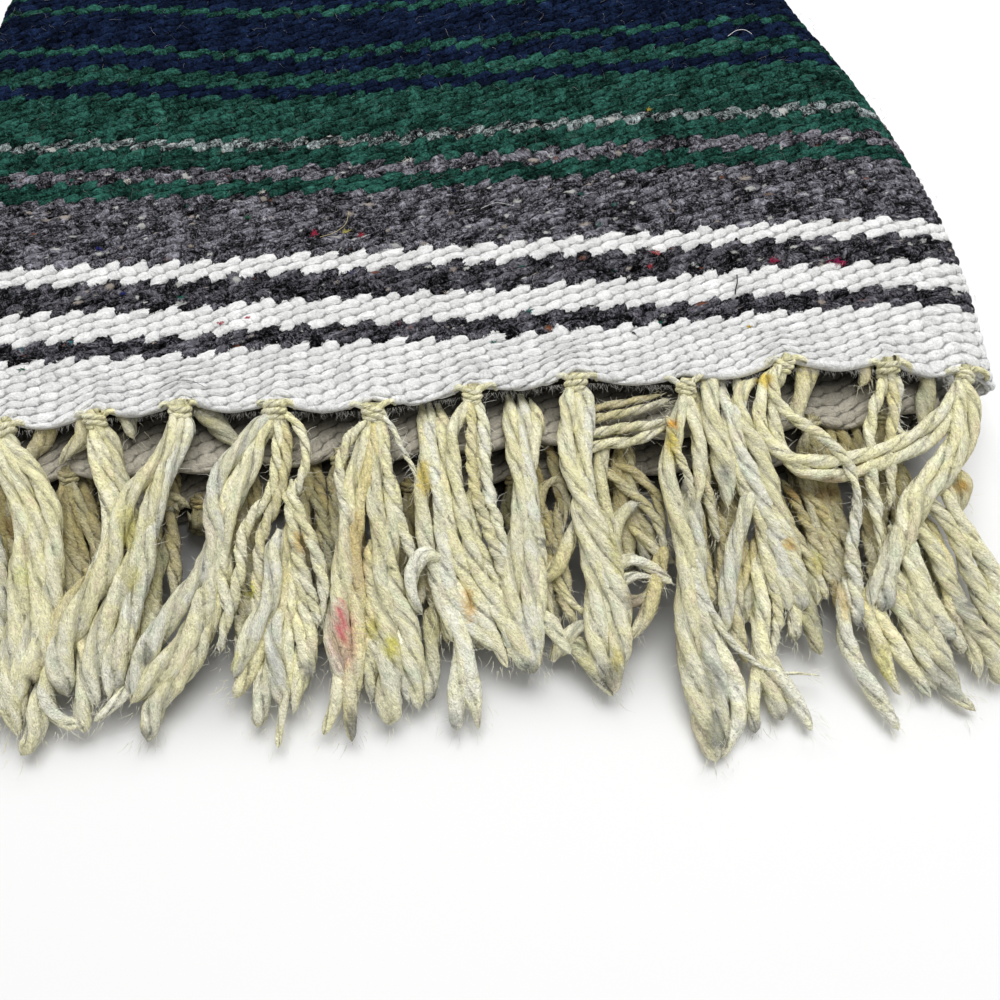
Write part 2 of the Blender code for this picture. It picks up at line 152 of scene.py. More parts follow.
WARP_PITCH = 4.2
GRAIN_SLOPE = 0.6  # a grain climbs this many picks in a warp
GRAIN_LENGTH = 0.63  # half its length, in warps
GRAIN_WIDTH = 1.05  # half its thickness, in picks
LENGTH_POWER, WIDTH_POWER = 2.2, 2.6  # how squarely it ends, along and across
ROLL_HEIGHT = 0.9  # height of the smooth roll at the edge
EDGE_ROLL = (0.6, 1.8)  # picks next to the edge that make a smooth roll
WANDER = (0.30, 0.36)  # drift of warps and picks, in their own pitches
JITTER = (0.18, 0.25)  # unevenness from grain to grain

# Weft stripes from the fringe to the middle of the navy band: yarn, picks, width
Stripe = namedtuple("Stripe", "yarn rows width")
STRIPES = table_of(
    Stripe,
    ("white", 14, 19.2), ("charcoal", 4, 5.6), ("white", 6, 8.7), ("charcoal", 6, 8.8), ("white", 4, 5.7),
    ("grey", 16, 21.4), ("green", 4, 5.1), ("grey", 3, 4.7), ("green", 5, 6.6), ("speckled", 2, 3.5),
    ("green", 12, 16.4), ("navy", 3, 3.9), ("green", 4, 5.3), ("navy", 4, 5.7), ("green", 2, 3.4),
    ("navy", 5, 7.05),
)
HALF_ROWS = sum(stripe.rows for stripe in STRIPES)
HALF_WIDTH = sum(stripe.width for stripe in STRIPES)

# How far the stripes have drifted back, by distance behind the edge and place across
DRIFT_PLACES = (-120, -90, -60, -30, 0, 30, 60, 85, 110, 125, 137)
Drift = namedtuple("Drift", "y back")
STRIPE_DRIFT = table_of(
    Drift,
    (0, (0, -0.5, -0.5, -0.5, -1.8, -1.5, -0.8, 0, 0, -1, -2)),
    (35, (0.8, -0.3, -0.7, -0.7, -1.4, -1.2, -1, -0.3, -0.5, -0.4, -1.5)),
    (65, (2.6, 1.6, 0.2, -0.8, -1.6, -0.7, 0, 0.5, 0.6, 0.3, -1.8)),
    (85, (3.9, 3.6, 0.5, -0.5, -0.5, 1.2, 1.9, 1.8, 1.9, 1.2, -1.6)),
    (100, (5.6, 4.6, 1.3, 0, 0, 1.6, 2.2, 2.7, 2.6, 1.9, -1)),
    (118, (8, 7, 2.4, 0, 0.6, 2.5, 3, 4.4, 4, 2, 0)),
    (140, (9, 7.6, 3.2, 0.8, 1, 2.2, 3, 3.8, 4.5, 3, 1)),
    (260, (0, 0, 0, 0, 0, 0, 0, 0, 0, 0, 0)),
)

# Where the top cloth is divided into pieces, at stripe edges
FRONT_END = 69.4
MIDDLE_END = 172.8

# Points of the cloth: rows lie closest round an edge, and finest at the front
EDGE_ZONE = 2.0  # the rows are closest this near to an edge
TUCK_STEP, EDGE_STEP = 0.8, 0.22  # spacing of rows under the top edge, and round it
FRONT_ROWS, FRONT_STEP = 160, 0.76  # rows of each top piece, and its spacing across
MIDDLE_ROWS, MIDDLE_STEP = 180, 0.92
BACK_ROWS, BACK_STEP = 290, 2.6
BACK_TURN_ROWS = 30  # rows round the back fold
LOWER_CLOTH_ROWS, LOWER_TURNS, LOWER_COLUMNS = 260, 24, 42
GROOVE_COLUMNS = 6  # the lower left fold starts this many columns further round
LEFT_FOLD_ROWS, LEFT_FOLD_TURNS = 380, 14
STRETCH_COLUMNS = 270
STRETCH_STEPS = (1.2, 0.25, 0.62)  # spacing of rows under, round and behind a lower edge


def srgb(red, green, blue):
    """A linear colour from the usual 0 to 255 values."""
    shares = (red / 255.0, green / 255.0, blue / 255.0)
    return tuple(s / 12.92 if s <= 0.04045 else ((s + 0.055) / 1.055) ** 2.4 for s in shares)


# Settings that a user would change

def colour_setting(name, description, default):
    return bpy.props.FloatVectorProperty(
        name=name, description=description, default=default, subtype="COLOR")


class SerapeCloth(bpy.types.PropertyGroup):
    """Sizes and colours of the woven cloth"""
    relief: bpy.props.FloatProperty(
        name="Weft relief", description="Height of the weft's bumps over its grooves",
        default=0.96 * MM, min=0.0, max=2.0 * MM, subtype="DISTANCE", unit="LENGTH", precision=5)
    white: colour_setting("White", "Bleached weft", srgb(240, 240, 239))
    charcoal: colour_setting("Charcoal", "Dark mottled weft", srgb(54, 53, 57))
    grey: colour_setting("Grey", "Recycled grey weft", srgb(70, 69, 74))
    speckled: colour_setting("Speckled", "Light recycled weft", srgb(80, 86, 86))
    green: colour_setting("Green", "Bottle green weft", srgb(28, 61, 53))
    navy: colour_setting("Navy", "Navy weft", srgb(15, 25, 46))


class SerapeFringe(bpy.types.PropertyGroup):
    """Sizes and colours of the fringe"""
    step: bpy.props.FloatProperty(
        name="Yarn step", description="Length of the flats along a yarn", default=1.1 * MM,
        min=0.4 * MM, max=5.0 * MM, subtype="DISTANCE", unit="LENGTH", precision=5)
    sides: bpy.props.IntProperty(
        name="Yarn sides", description="Flats round a yarn", default=12, min=6, max=24)
    cream: colour_setting("Cream", "Undyed yarn", srgb(246, 241, 208))
    pale: colour_setting("Pale", "Worn and washed-out yarn", srgb(244, 242, 224))
    straw: colour_setting("Straw", "Yellowed yarn", srgb(238, 229, 186))
    dirt: colour_setting("Dirt", "Grey of the soiled tips", srgb(120, 120, 122))


class SerapeStage(bpy.types.PropertyGroup):
    """Floor, light and camera"""
    floor: colour_setting("Floor", "Colour of the floor", (0.91, 0.91, 0.91))
    sky: bpy.props.FloatProperty(
        name="Sky", description="Strength of the even light all round", default=0.48, min=0.0)
    lamp: bpy.props.FloatProperty(
        name="Lamp", description="Power of the large soft lamp overhead", default=16.6, min=0.0,
        unit="POWER")
    lens: bpy.props.FloatProperty(
        name="Lens", description="Focal length of the camera", default=36.11, min=1.0,
        unit="CAMERA")


# Small helpers

def smooth(t):
    """Eased step from 0 to 1."""
    t = np.clip(t, 0.0, 1.0)
    return t * t * (3.0 - 2.0 * t)


def mix(a, b, t):
    """The value at this share of the way from one to the other."""
    return a + (b - a) * t


def wobble(index, seed=0.0):
    """A repeatable value between 0 and 1."""
    return np.sin(index * 12.9898 + seed * 78.233) * 43758.5453 % 1.0


def soft_noise(x, y, seed):
    """Smooth repeatable unevenness, about -1 to 1, from waves that run every way."""
    total = 0.0
    for wave in range(6):
        angle = 2.399 * wave + seed
        pace = 0.75 + 0.32 * wave
        total = total + np.sin(pace * (x * math.cos(angle) + y * math.sin(angle))
                               + 2.3 * wave + 5.1 * seed)
    return total / 3.5


def unit(vectors):
    """Vectors of length one."""
    return vectors / np.maximum(np.linalg.norm(vectors, axis=-1, keepdims=True), 1e-9)


def cubic(t, span, start, leave, end, arrive):
    """A smooth step of this span between two values that have these slopes."""
    return ((2 * t ** 3 - 3 * t ** 2 + 1) * start + (t ** 3 - 2 * t ** 2 + t) * span * leave
            + (3 * t ** 2 - 2 * t ** 3) * end + (t ** 3 - t ** 2) * span * arrive)


def path_lengths(path):
    """How far along a path each of its points lies."""
    return np.concatenate(((0.0,), np.cumsum(np.linalg.norm(np.diff(path, axis=0), axis=1))))


def curve(places, values, at):
    """A smooth curve through values at these places."""
    places, values = np.array(places, float), np.array(values, float)
    slopes = np.empty_like(values)
    slopes[1:-1] = (values[2:] - values[:-2]) / (places[2:] - places[:-2])
    slopes[0] = (values[1] - values[0]) / (places[1] - places[0])
    slopes[-1] = (values[-1] - values[-2]) / (places[-1] - places[-2])
    at = np.clip(at, places[0], places[-1])
    i = np.clip(np.searchsorted(places, at, side="right") - 1, 0, len(places) - 2)
    span = places[i + 1] - places[i]
    return cubic((at - places[i]) / span, span, values[i], slopes[i], values[i + 1], slopes[i + 1])


def frame_shift():
    """Where the middle of the fringed edge lies in the frame, in millimetres."""
    step = STEPS[0]
    low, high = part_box(step.name)
    return np.array((low.x / MM - step.left, high.y / MM - step.back, 0.0))


SHIFT = frame_shift()


# Making pieces

def new_piece(name, points, faces, material, uv=None, tones=None, grain=None):
    """A smooth mesh from points in millimetres, with the values that its material reads."""
    mesh = bpy.data.meshes.new(name)
    mesh.vertices.add(len(points))
    mesh.vertices.foreach_set("co", ((points + SHIFT) * MM).astype(np.float32).ravel())
    mesh.loops.add(faces.size)
    mesh.loops.foreach_set("vertex_index", faces.astype(np.int32).ravel())
    mesh.polygons.add(len(faces))
    mesh.polygons.foreach_set("loop_start",
                              np.arange(0, faces.size, faces.shape[1], dtype=np.int32))
    mesh.update(calc_edges=True)
    if uv is not None:
        layer = mesh.uv_layers.new(name="Weave")
        layer.uv.foreach_set("vector", uv[faces.ravel()].astype(np.float32).ravel())
    if tones is not None:
        colours = np.concatenate((tones, np.ones((len(tones), 1))), axis=1)
        layer = mesh.attributes.new("Tone", "FLOAT_COLOR", "POINT")
        layer.data.foreach_set("color", colours.astype(np.float32).ravel())
    if grain is not None:
        layer = mesh.attributes.new("Grain", "FLOAT_VECTOR", "POINT")
        layer.data.foreach_set("vector", grain.astype(np.float32).ravel())
    mesh.shade_smooth()
    mesh.materials.append(material)
    piece = bpy.data.objects.new(name, mesh)
    bpy.context.scene.collection.objects.link(piece)
    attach(piece, "root")
    return piece


def grid_faces(rows, columns, closed=False):
    """Quads of a grid of points, row by row; a closed one joins its last column to its first."""
    index = np.arange(rows * columns).reshape(rows, columns)
    if closed:
        index = np.concatenate((index, index[:, :1]), axis=1)
    return np.stack((index[:-1, :-1], index[:-1, 1:], index[1:, 1:], index[1:, :-1]),
                    axis=-1).reshape(-1, 4)


# Weave

def weft_relief(across, along):
    """Height of the weft, 0 in its grooves to 1 on its grains."""
    height = 0.0
    for nearest in (0.0, 1.0):
        column = np.floor(across) + nearest
        ahead = across - column
        cross = along - 0.5 - column - GRAIN_SLOPE * ahead
        chain = np.round(cross / 2.0)
        cross = cross - 2.0 * chain
        full = (1.0 - np.abs(ahead / GRAIN_LENGTH) ** LENGTH_POWER
                - np.abs(cross / GRAIN_WIDTH) ** WIDTH_POWER)
        plump = mix(0.84, 1.12, wobble(3.0 * chain + 7.0 * column, 0.37))
        height = np.maximum(height, np.sqrt(np.maximum(full, 0.0)) * plump)
    low, high = EDGE_ROLL
    return mix(ROLL_HEIGHT, height, smooth((np.abs(along) - low) / (high - low)))


def stripe_rows(distance):
    """The picks between the front edge and this distance behind it."""
    widths = [stripe.width for stripe in STRIPES]
    rows = [stripe.rows for stripe in STRIPES]
    widths, rows = widths + widths[::-1], rows + rows[::-1]
    ends = np.concatenate(((0.0,), np.cumsum(widths)))
    counts = np.concatenate(((0.0,), np.cumsum(rows)))
    turn, left = np.divmod(np.abs(distance), ends[-1])
    return np.sign(distance) * (turn * counts[-1] + np.interp(left, ends, counts))


def stripe_drift(x, distance):
    """How far the stripes have drifted back at these cloth points."""
    levels = np.array([curve(DRIFT_PLACES, drift.back, x) for drift in STRIPE_DRIFT])
    places = [drift.y for drift in STRIPE_DRIFT]
    row = np.interp(np.abs(distance), places, np.arange(len(places)))
    total = 0.0
    for i, level in enumerate(levels):
        total = total + level * np.clip(1.0 - np.abs(row - i), 0.0, 1.0)
    return total


def weave_places(x, distance):
    """The places of cloth points in the weave, in warps and picks, a little uneven."""
    drift_x = (soft_noise(x / 17.0, distance / 9.0, 1.0)
               + 0.5 * soft_noise(x / 5.0, distance / 3.1, 2.0))
    drift_y = (soft_noise(x / 13.0, distance / 21.0, 3.0)
               + 0.4 * soft_noise(x / 4.1, distance / 6.0, 4.0))
    across = x / WARP_PITCH + WANDER[0] * drift_x
    along = (stripe_rows(distance) + WANDER[1] * drift_y
             - np.sign(distance) * stripe_drift(x, distance) * HALF_ROWS / HALF_WIDTH)
    return (across + JITTER[0] * soft_noise(1.3 * across, 0.8 * along, 13.0),
            along + JITTER[1] * soft_noise(1.1 * across, 0.6 * along, 14.0))


def add_relief(points, across, along, relief):
    """Raise the weft's bumps to the surface and sink its grooves below it."""
    normals = unit(np.cross(np.gradient(points, axis=1), np.gradient(points, axis=0)))
    height = weft_relief(across, along) - 1.0
    height = height + 0.10 * soft_noise(across * 1.6, along * 0.9, 6.0)
    return points + normals * (height * relief)[..., None]


# Form of the folded pile

def outline(y):
    """Left and right side of the pile at this distance behind the front edge."""
    places = [station.y for station in OUTLINE]
    return (curve(places, [station.left for station in OUTLINE], y),
            curve(places, [station.right for station in OUTLINE], y))


def top_height(x, y):
    """Height of the pile's upper face, crowned and softly creased along the warp."""
    left, right = outline(y)
    drop = CROWN * ((2.0 * x - left - right) / (right - left)) ** 2
    for crease in CREASES:
        side = (x - crease.x - crease.lean * y) / crease.width
        along = np.clip((y - crease.start) / (crease.end - crease.start), 0.0, 1.0)
        drop = drop + crease.depth * np.exp(-side ** 2) * np.sin(math.pi * along)
    return STACK - drop * (1.0 - smooth((y - DEPTH + FLATTENING) / FLATTENING))


def dents(table, y):
    """How far in a side fold is dented at y."""
    return sum(dent.depth * np.exp(-((y - dent.y) / dent.length) ** 2) for dent in table)


def edge_bulge(x, knots, full):
    """How far the edge bulges forward between two knots, and least at a knot."""
    places = np.array(knots, float)
    i = np.clip(np.searchsorted(places, x, side="right") - 1, 0, len(places) - 2)
    t = np.clip((x - places[i]) / (places[i + 1] - places[i]), 0.0, 1.0)
    return full * (1.0 - np.abs(2.0 * t - 1.0) ** 1.7)


def top_edge_forward(x):
    """How far forward of the fold line the top layer's edge reaches."""
    base = np.interp(x, [k.x for k in TOP_EDGE], [k.forward for k in TOP_EDGE])
    return base + edge_bulge(x, [k.x for k in TOP_EDGE], SCALLOP)


def edge_wrap(distance):
    """Depth below the face, and how far back, for points round a cloth edge and behind it."""
    half = WALL / 2.0
    turn = (1.0 - np.clip(np.abs(distance) / half, 0.0, 1.0)) * math.pi / 2.0
    depth = half - np.sign(distance) * half * np.cos(turn)
    behind = np.where(np.abs(distance) < half, half - half * np.sin(turn), np.abs(distance))
    return depth, behind


def fold_turns(step):
    """Angles round a side fold, from its flat outward, at about this spacing."""
    radius = (FOLD_REACH + FOLD_DROP) / 2.0
    count = int(FOLD_TURN * radius / step)
    return np.linspace(0.0, FOLD_TURN, count + 1)[1:]


def top_cloth_points(distances, across_step):
    """The top layer's face: rows of points at these distances, from left fold to right fold."""
    turns = fold_turns(across_step)
    flat_count = int(2 * HALF_FLAT / across_step)
    shares = np.linspace(0.0, 1.0, flat_count + 1)
    depth, y = edge_wrap(distances)
    left, right = outline(y)
    starts = (left + FOLD_REACH + dents(LEFT_DENTS, y), right - FOLD_REACH - dents(RIGHT_DENTS, y))
    depth, y = depth[:, None], y[:, None]
    start_left, start_right = (s[:, None] for s in starts)

    def side(start, way, angle):
        x = start + way * (FOLD_REACH - depth) * np.sin(angle)
        z = top_height(start, y) - depth - (FOLD_DROP - depth) * (1.0 - np.cos(angle))
        return x, z, start + way * angle * (FOLD_REACH + FOLD_DROP) / 2.0

    flat_x = mix(start_left, start_right, shares[None, :])
    columns = [side(start_left, -1.0, turns[None, ::-1]),
               (flat_x, top_height(flat_x, y) - depth, flat_x),
               side(start_right, 1.0, turns[None, :])]
    x, z, cloth_x = (np.concatenate([np.broadcast_to(c[i], (len(y), c[i].shape[1]))
                                     for c in columns], axis=1) for i in range(3))
    fade = 1.0 - smooth(y / SCALLOP_FADE)
    return np.stack((x, y - top_edge_forward(x) * fade, z), axis=-1), cloth_x


def round_back(points, turns):
    """Rows of points that carry the last row round the back fold."""
    half = STACK / 2.0
    x, z = points[-1, :, 0], points[-1, :, 2]
    rows = [np.stack((x, DEPTH + BACK_REACH * (z / half - 1.0) * math.sin(turn),
                      half + (z - half) * math.cos(turn)), axis=-1) for turn in turns]
    return np.concatenate((points, np.array(rows)), axis=0)


def cloth_piece(name, points, cloth_x, distances, relief, soil_and_shade=None):
    """A piece of woven cloth: its form, its relief, its places in the weave and any painted shade."""
    across, along = weave_places(cloth_x, distances)
    surface = add_relief(points, across, along, relief)
    uv = np.stack((across, along), axis=-1).reshape(-1, 2)
    tones = np.ones(points.shape) if soil_and_shade is None else soil_and_shade
    faces = grid_faces(*points.shape[:2])
    return new_piece(name, surface.reshape(-1, 3), faces, striped_wool(), uv=uv,
                     tones=tones.reshape(-1, 3))


def make_top_cloth(relief):
    """The top layer in three pieces, finest at the front."""
    front = np.concatenate((np.arange(-TUCK, -EDGE_ZONE, TUCK_STEP),
                            np.arange(-EDGE_ZONE, EDGE_ZONE, EDGE_STEP),
                            np.linspace(EDGE_ZONE, FRONT_END, FRONT_ROWS)))
    middle = np.linspace(FRONT_END, MIDDLE_END, MIDDLE_ROWS)
    back = np.linspace(MIDDLE_END, DEPTH, BACK_ROWS)
    pieces = []
    for name, distances, step in (("top_cloth_front", front, FRONT_STEP),
                                  ("top_cloth_middle", middle, MIDDLE_STEP),
                                  ("top_cloth_back", back, BACK_STEP)):
        points, cloth_x = top_cloth_points(distances, step)
        if distances is back:
            turns = np.linspace(0.0, BACK_TURN, BACK_TURN_ROWS)[1:]
            points = round_back(points, turns)
            beyond = DEPTH + turns * (STACK / 2.0 + BACK_REACH) / 2.0
            distances = np.concatenate((distances, beyond))
            cloth_x = np.concatenate((cloth_x, np.repeat(cloth_x[-1:], len(turns), axis=0)))
        pieces.append(cloth_piece(name, points, cloth_x, distances[:, None] + 0.0 * cloth_x,
                                  relief))
    return pieces


def lobe_arc(lobe, turns, side, way):
    """Points round a lower side fold at these angles from its top; and their arc lengths."""
    half = (lobe.high - lobe.low) / 2.0
    x = side - way * (lobe.inset + lobe.reach) + way * lobe.reach * np.sin(turns)
    z = (lobe.low + lobe.high) / 2.0 + half * np.cos(turns)
    return x, z, turns * (lobe.reach + half) / 2.0


def make_lower_cloth(relief):
    """The outer cloth of the hidden layers: both lower folds and the flat underside."""
    distances = np.linspace(-2.0, DEPTH + 6.0, LOWER_CLOTH_ROWS)
    y = distances[:, None]
    left, right = (side[:, None] for side in outline(distances))
    left = left + dents(LEFT_DENTS[::-1], DEPTH - y) * 0.8
    right = right - dents(RIGHT_DENTS[::-1], DEPTH - y) * 0.9
    turns = np.linspace(GROOVE_TURN, math.pi, LOWER_TURNS)[None, :]
    right_x, right_z, right_arc = lobe_arc(RIGHT_LOBE, turns, right, 1.0)
    left_x, left_z, left_arc = lobe_arc(LEFT_LOWER_LOBE, turns[:, GROOVE_COLUMNS:], left, -1.0)
    shares = np.linspace(0.0, 1.0, LOWER_COLUMNS)[None, 1:-1]
    flat_x = mix(right_x[:, -1:], left_x[:, -1:], shares)
    x = np.concatenate((right_x, flat_x, left_x[:, ::-1]), axis=1)
    z = np.concatenate((right_z + 0 * y, 0 * flat_x, left_z[:, ::-1] + 0 * y), axis=1)
    right_end, left_end = right_x[:, -1:], left_x[:, -1:]
    cloth_x = np.concatenate((right_end + right_arc[:, -1:] - right_arc, flat_x,
                              left_end - left_arc[:, -1:] + left_arc[:, ::-1]), axis=1)
    points = np.stack((x, y + 0 * x, z), axis=-1)
    return cloth_piece("lower_cloth", points, cloth_x, y + 0 * x, relief)


def make_left_fold(relief):
    """The fold between the top layer and the lowest one on the left side."""
    distances = np.linspace(2.0, DEPTH + 5.0, LEFT_FOLD_ROWS)
    y = distances[:, None]
    left = outline(distances)[0][:, None] + dents(RIGHT_DENTS, y)
    turns = np.linspace(GROOVE_TURN, math.pi - GROOVE_TURN, LEFT_FOLD_TURNS)[None, :]
    x, z, arc = lobe_arc(LEFT_UPPER_LOBE, turns, left, -1.0)
    points = np.stack((x, y + 0 * x, z + 0 * x), axis=-1)[:, ::-1]
    cloth_x = left - arc[:, ::-1]
    return cloth_piece("left_fold", points, cloth_x, y + 0 * x, relief)


def make_front_stretch(step, relief):
    """A lower layer's end that shows at the front, with its rounded, knotted edge."""
    length = step.back - step.edge
    under, close, after = STRETCH_STEPS
    distances = np.concatenate((np.arange(-length + 1.0, -EDGE_ZONE, under),
                                np.arange(-EDGE_ZONE, EDGE_ZONE, close),
                                np.arange(EDGE_ZONE, length, after)))
    depth, behind = edge_wrap(distances)
    x = np.linspace(step.left, step.right, STRETCH_COLUMNS)[None, :]
    fade = (1.0 - smooth(behind / SCALLOP_FADE))[:, None]
    bulge = edge_bulge(x, step.knots, SCALLOP - 0.2) * fade
    droop = step.droop * (1.0 - smooth(behind / DROOP_FADE))[:, None]
    droop = droop * (1.0 + 0.5 * soft_noise(x / 21.0, 0, 7.0))
    z = step.top - depth[:, None] - droop
    y = step.edge + behind[:, None] - bulge
    points = np.stack((x + 0 * z, y, z), axis=-1)
    # Painted shade: the whole stretch is dim and warm, and darker still under the layer above
    inside = smooth((y - step.dark + 5.0) / 10.0)[..., None]
    soil_and_shade = mix(np.array(PAINTED_SHADE_TINT), np.array(PAINTED_SHADE_TINT) * HIDDEN_SHADE, inside)
    return cloth_piece(step.name + "_cloth", points, x + 0 * z + 3.7 * len(step.name),
                       distances[:, None] + 0 * z, relief, soil_and_shade)


# Shader nodes

def feed(tree, socket, value):
    """Link or set a socket."""
    if isinstance(value, bpy.types.NodeSocket):
        tree.links.new(value, socket)
    else:
        socket.default_value = value


def add_math(tree, operation, *values):
    node = tree.nodes.new("ShaderNodeMath")
    node.operation = operation
    for socket, value in zip(node.inputs, values):
        feed(tree, socket, value)
    return node.outputs[0]


def math_node(operation):
    """A function that adds a math node of this kind."""
    return lambda tree, *values: add_math(tree, operation, *values)


times, times_plus, plus, minus, over, size_of = (math_node(operation) for operation in (
    "MULTIPLY", "MULTIPLY_ADD", "ADD", "SUBTRACT", "DIVIDE", "ABSOLUTE"))


def add_range(tree, value, low, high, to_low=0.0, to_high=1.0):
    """A value eased from one range to another."""
    node = tree.nodes.new("ShaderNodeMapRange")
    node.interpolation_type = "SMOOTHSTEP"
    for name, number in (("Value", value), ("From Min", low), ("From Max", high),
                         ("To Min", to_low), ("To Max", to_high)):
        feed(tree, node.inputs[name], number)
    return node.outputs["Result"]


def add_mix(tree, blend, share, one, other):
    """Two colours mixed."""
    node = tree.nodes.new("ShaderNodeMix")
    node.data_type = "RGBA"
    node.blend_type = blend
    feed(tree, node.inputs["Factor"], share)
    colours = [socket for socket in node.inputs if socket.type == "RGBA"]
    for socket, value in zip(colours, (one, other)):
        feed(tree, socket, (*value, 1.0) if isinstance(value, tuple) else value)
    return next(socket for socket in node.outputs if socket.type == "RGBA")


def add_shade(tree, colour, shade):
    """A colour made darker or lighter by a value."""
    return add_mix(tree, "MULTIPLY", 1.0, colour, add_vector(tree, shade, shade, shade))


def add_shares(tree, total, *values):
    """A value with shares of others added; values are (value, share)."""
    for value, share in values:
        total = times_plus(tree, value, share, total)
    return total


def add_attribute(tree, name):
    """What the mesh holds under this name, as a colour and as a vector."""
    node = tree.nodes.new("ShaderNodeAttribute")
    node.attribute_name = name
    return node.outputs


def add_vector(tree, x, y, z):
    node = tree.nodes.new("ShaderNodeCombineXYZ")
    for socket, value in zip(node.inputs, (x, y, z)):
        feed(tree, socket, value)
    return node.outputs[0]


def add_parts(tree, vector):
    node = tree.nodes.new("ShaderNodeSeparateXYZ")
    feed(tree, node.inputs[0], vector)
    return node.outputs


def add_noise(tree, vector, scale, detail=2.0, roughness=0.5, distortion=0.0):
    node = tree.nodes.new("ShaderNodeTexNoise")
    for name, value in (("Vector", vector), ("Scale", scale), ("Detail", detail),
                        ("Roughness", roughness), ("Distortion", distortion)):
        feed(tree, node.inputs[name], value)
    return node.outputs["Fac"]


def add_ramp(tree, value, stops, stepped=False):
    """A colour ramp with its stops as (place, colour)."""
    node = tree.nodes.new("ShaderNodeValToRGB")
    ramp = node.color_ramp
    ramp.interpolation = "CONSTANT" if stepped else "EASE"
    for i, (place, colour) in enumerate(stops):
        stop = ramp.elements[i] if i < 2 else ramp.elements.new(place)
        stop.position = place
        stop.color = (*colour, 1.0)
    feed(tree, node.inputs["Fac"], value)
    return node.outputs["Color"]


def made_once(store, name):
    """A node group or material that is made when it is first asked for, and found after that."""
    def keep(make):
        def find():
            made = getattr(bpy.data, store)
            return made[name] if name in made else make(name)
        return find
    return keep


def new_group(name, inputs, outputs):
    """A node group with these sockets; inputs and outputs are (name, kind)."""
    tree = bpy.data.node_groups.new(name, "ShaderNodeTree")
    for way, sockets in (("INPUT", inputs), ("OUTPUT", outputs)):
        for socket, kind in sockets:
            tree.interface.new_socket(socket, in_out=way, socket_type="NodeSocket" + kind)
    return tree, tree.nodes.new("NodeGroupInput").outputs, tree.nodes.new("NodeGroupOutput").inputs


def add_group(tree, group, **values):
    """A group placed in a tree; its inputs are named with underscores for spaces."""
    node = tree.nodes.new("ShaderNodeGroup")
    node.node_tree = group
    for name, value in values.items():
        feed(tree, node.inputs[name.replace("_", " ")], value)
    return node.outputs


@made_once("node_groups", "Weft grains")
def weft_group(name):
    """The grain at a place of the weave: its pick and warp, the place in it, its height."""
    tree, given, result = new_group(
        name, (("Across", "Float"), ("Along", "Float")),
        (("Pick", "Float"), ("Warp", "Float"), ("Ahead", "Float"), ("Cross", "Float"),
         ("Relief", "Float")))
    across, along = given["Across"], given["Along"]
    first = add_math(tree, "FLOOR", across)
    grains = []
    for nearest in (0.0, 1.0):
        column = plus(tree, first, nearest)
        ahead = minus(tree, across, column)
        cross = minus(tree, minus(tree, along, 0.5), column)
        cross = times_plus(tree, ahead, -GRAIN_SLOPE, cross)
        chain = times(tree, 2.0, add_math(tree, "ROUND", times(tree, cross, 0.5)))
        cross = minus(tree, cross, chain)
        long, wide = (add_math(tree, "POWER", size_of(tree, over(tree, place, half)), power)
                      for place, half, power in ((ahead, GRAIN_LENGTH, LENGTH_POWER),
                                                 (cross, GRAIN_WIDTH, WIDTH_POWER)))
        full = minus(tree, minus(tree, 1.0, long), wide)
        grains.append((plus(tree, chain, column), column, ahead, cross, full))
    second = add_math(tree, "GREATER_THAN", grains[1][4], grains[0][4])
    pick, warp, ahead, cross, full = (
        times_plus(tree, second, minus(tree, other, one), one) for one, other in zip(*grains))
    height = add_math(tree, "SQRT", add_math(tree, "MAXIMUM", full, 0.0))
    height = minus(tree, height, ROLL_HEIGHT)
    woven = add_range(tree, size_of(tree, along), *EDGE_ROLL)
    for socket, value in (("Pick", pick), ("Warp", warp), ("Ahead", ahead), ("Cross", cross),
                          ("Relief", times_plus(tree, height, woven, ROLL_HEIGHT))):
        feed(tree, result[socket], value)
    return tree


@made_once("node_groups", "Wool fibres")
def fibre_group(name):
    """Wool fibres that run along X: their tone and their height."""
    tree, given, result = new_group(
        name, (("Vector", "Vector"), ("Stretch", "Float"), ("Fineness", "Float")),
        (("Tone", "Float"), ("Fuzz", "Float")))
    x, y, z = add_parts(tree, given["Vector"])
    share = over(tree, x, given["Stretch"])
    drawn = add_vector(tree, share, y, z)
    fine = add_noise(tree, drawn, given["Fineness"], 3.0, 0.65, 0.6)
    clumps = add_noise(tree, drawn, times(tree, given["Fineness"], 0.31), 2.0)
    tone = plus(tree, times(tree, fine, 0.6), times(tree, clumps, 0.4))
    feed(tree, result["Tone"], tone)
    feed(tree, result["Fuzz"], times_plus(tree, clumps, 0.8, fine))
    return tree


@made_once("node_groups", "Crossing fibres")
def crossing_group(name):
    """Single fibres that cross the surface this way and that."""
    tree, given, result = new_group(name, (("Vector", "Vector"), ("Fineness", "Float")),
                                    (("Fibre", "Float"),))
    x, y, z = add_parts(tree, given["Vector"])
    fibre = 0.0
    for turn, shift in ((0.35, 0.0), (1.35, 31.0), (2.45, 67.0)):
        ahead = times_plus(tree, y, math.sin(turn) / 5.0, shift)
        ahead = times_plus(tree, x, math.cos(turn) / 5.0, ahead)
        cross = times_plus(tree, y, math.cos(turn), times(tree, x, -math.sin(turn)))
        drawn = add_vector(tree, ahead, cross, z)
        value = add_noise(tree, drawn, given["Fineness"], 1.0, 0.5, 0.4)
        near = add_range(tree, size_of(tree, minus(tree, value, 0.5)), 0.01, 0.07, 1.0, 0.0)
        fibre = add_math(tree, "MAXIMUM", fibre, near)
    broken = add_range(tree, add_noise(tree, given["Vector"], 0.7, 2.0), 0.42, 0.62)
    feed(tree, result["Fibre"], times(tree, fibre, broken))
    return tree


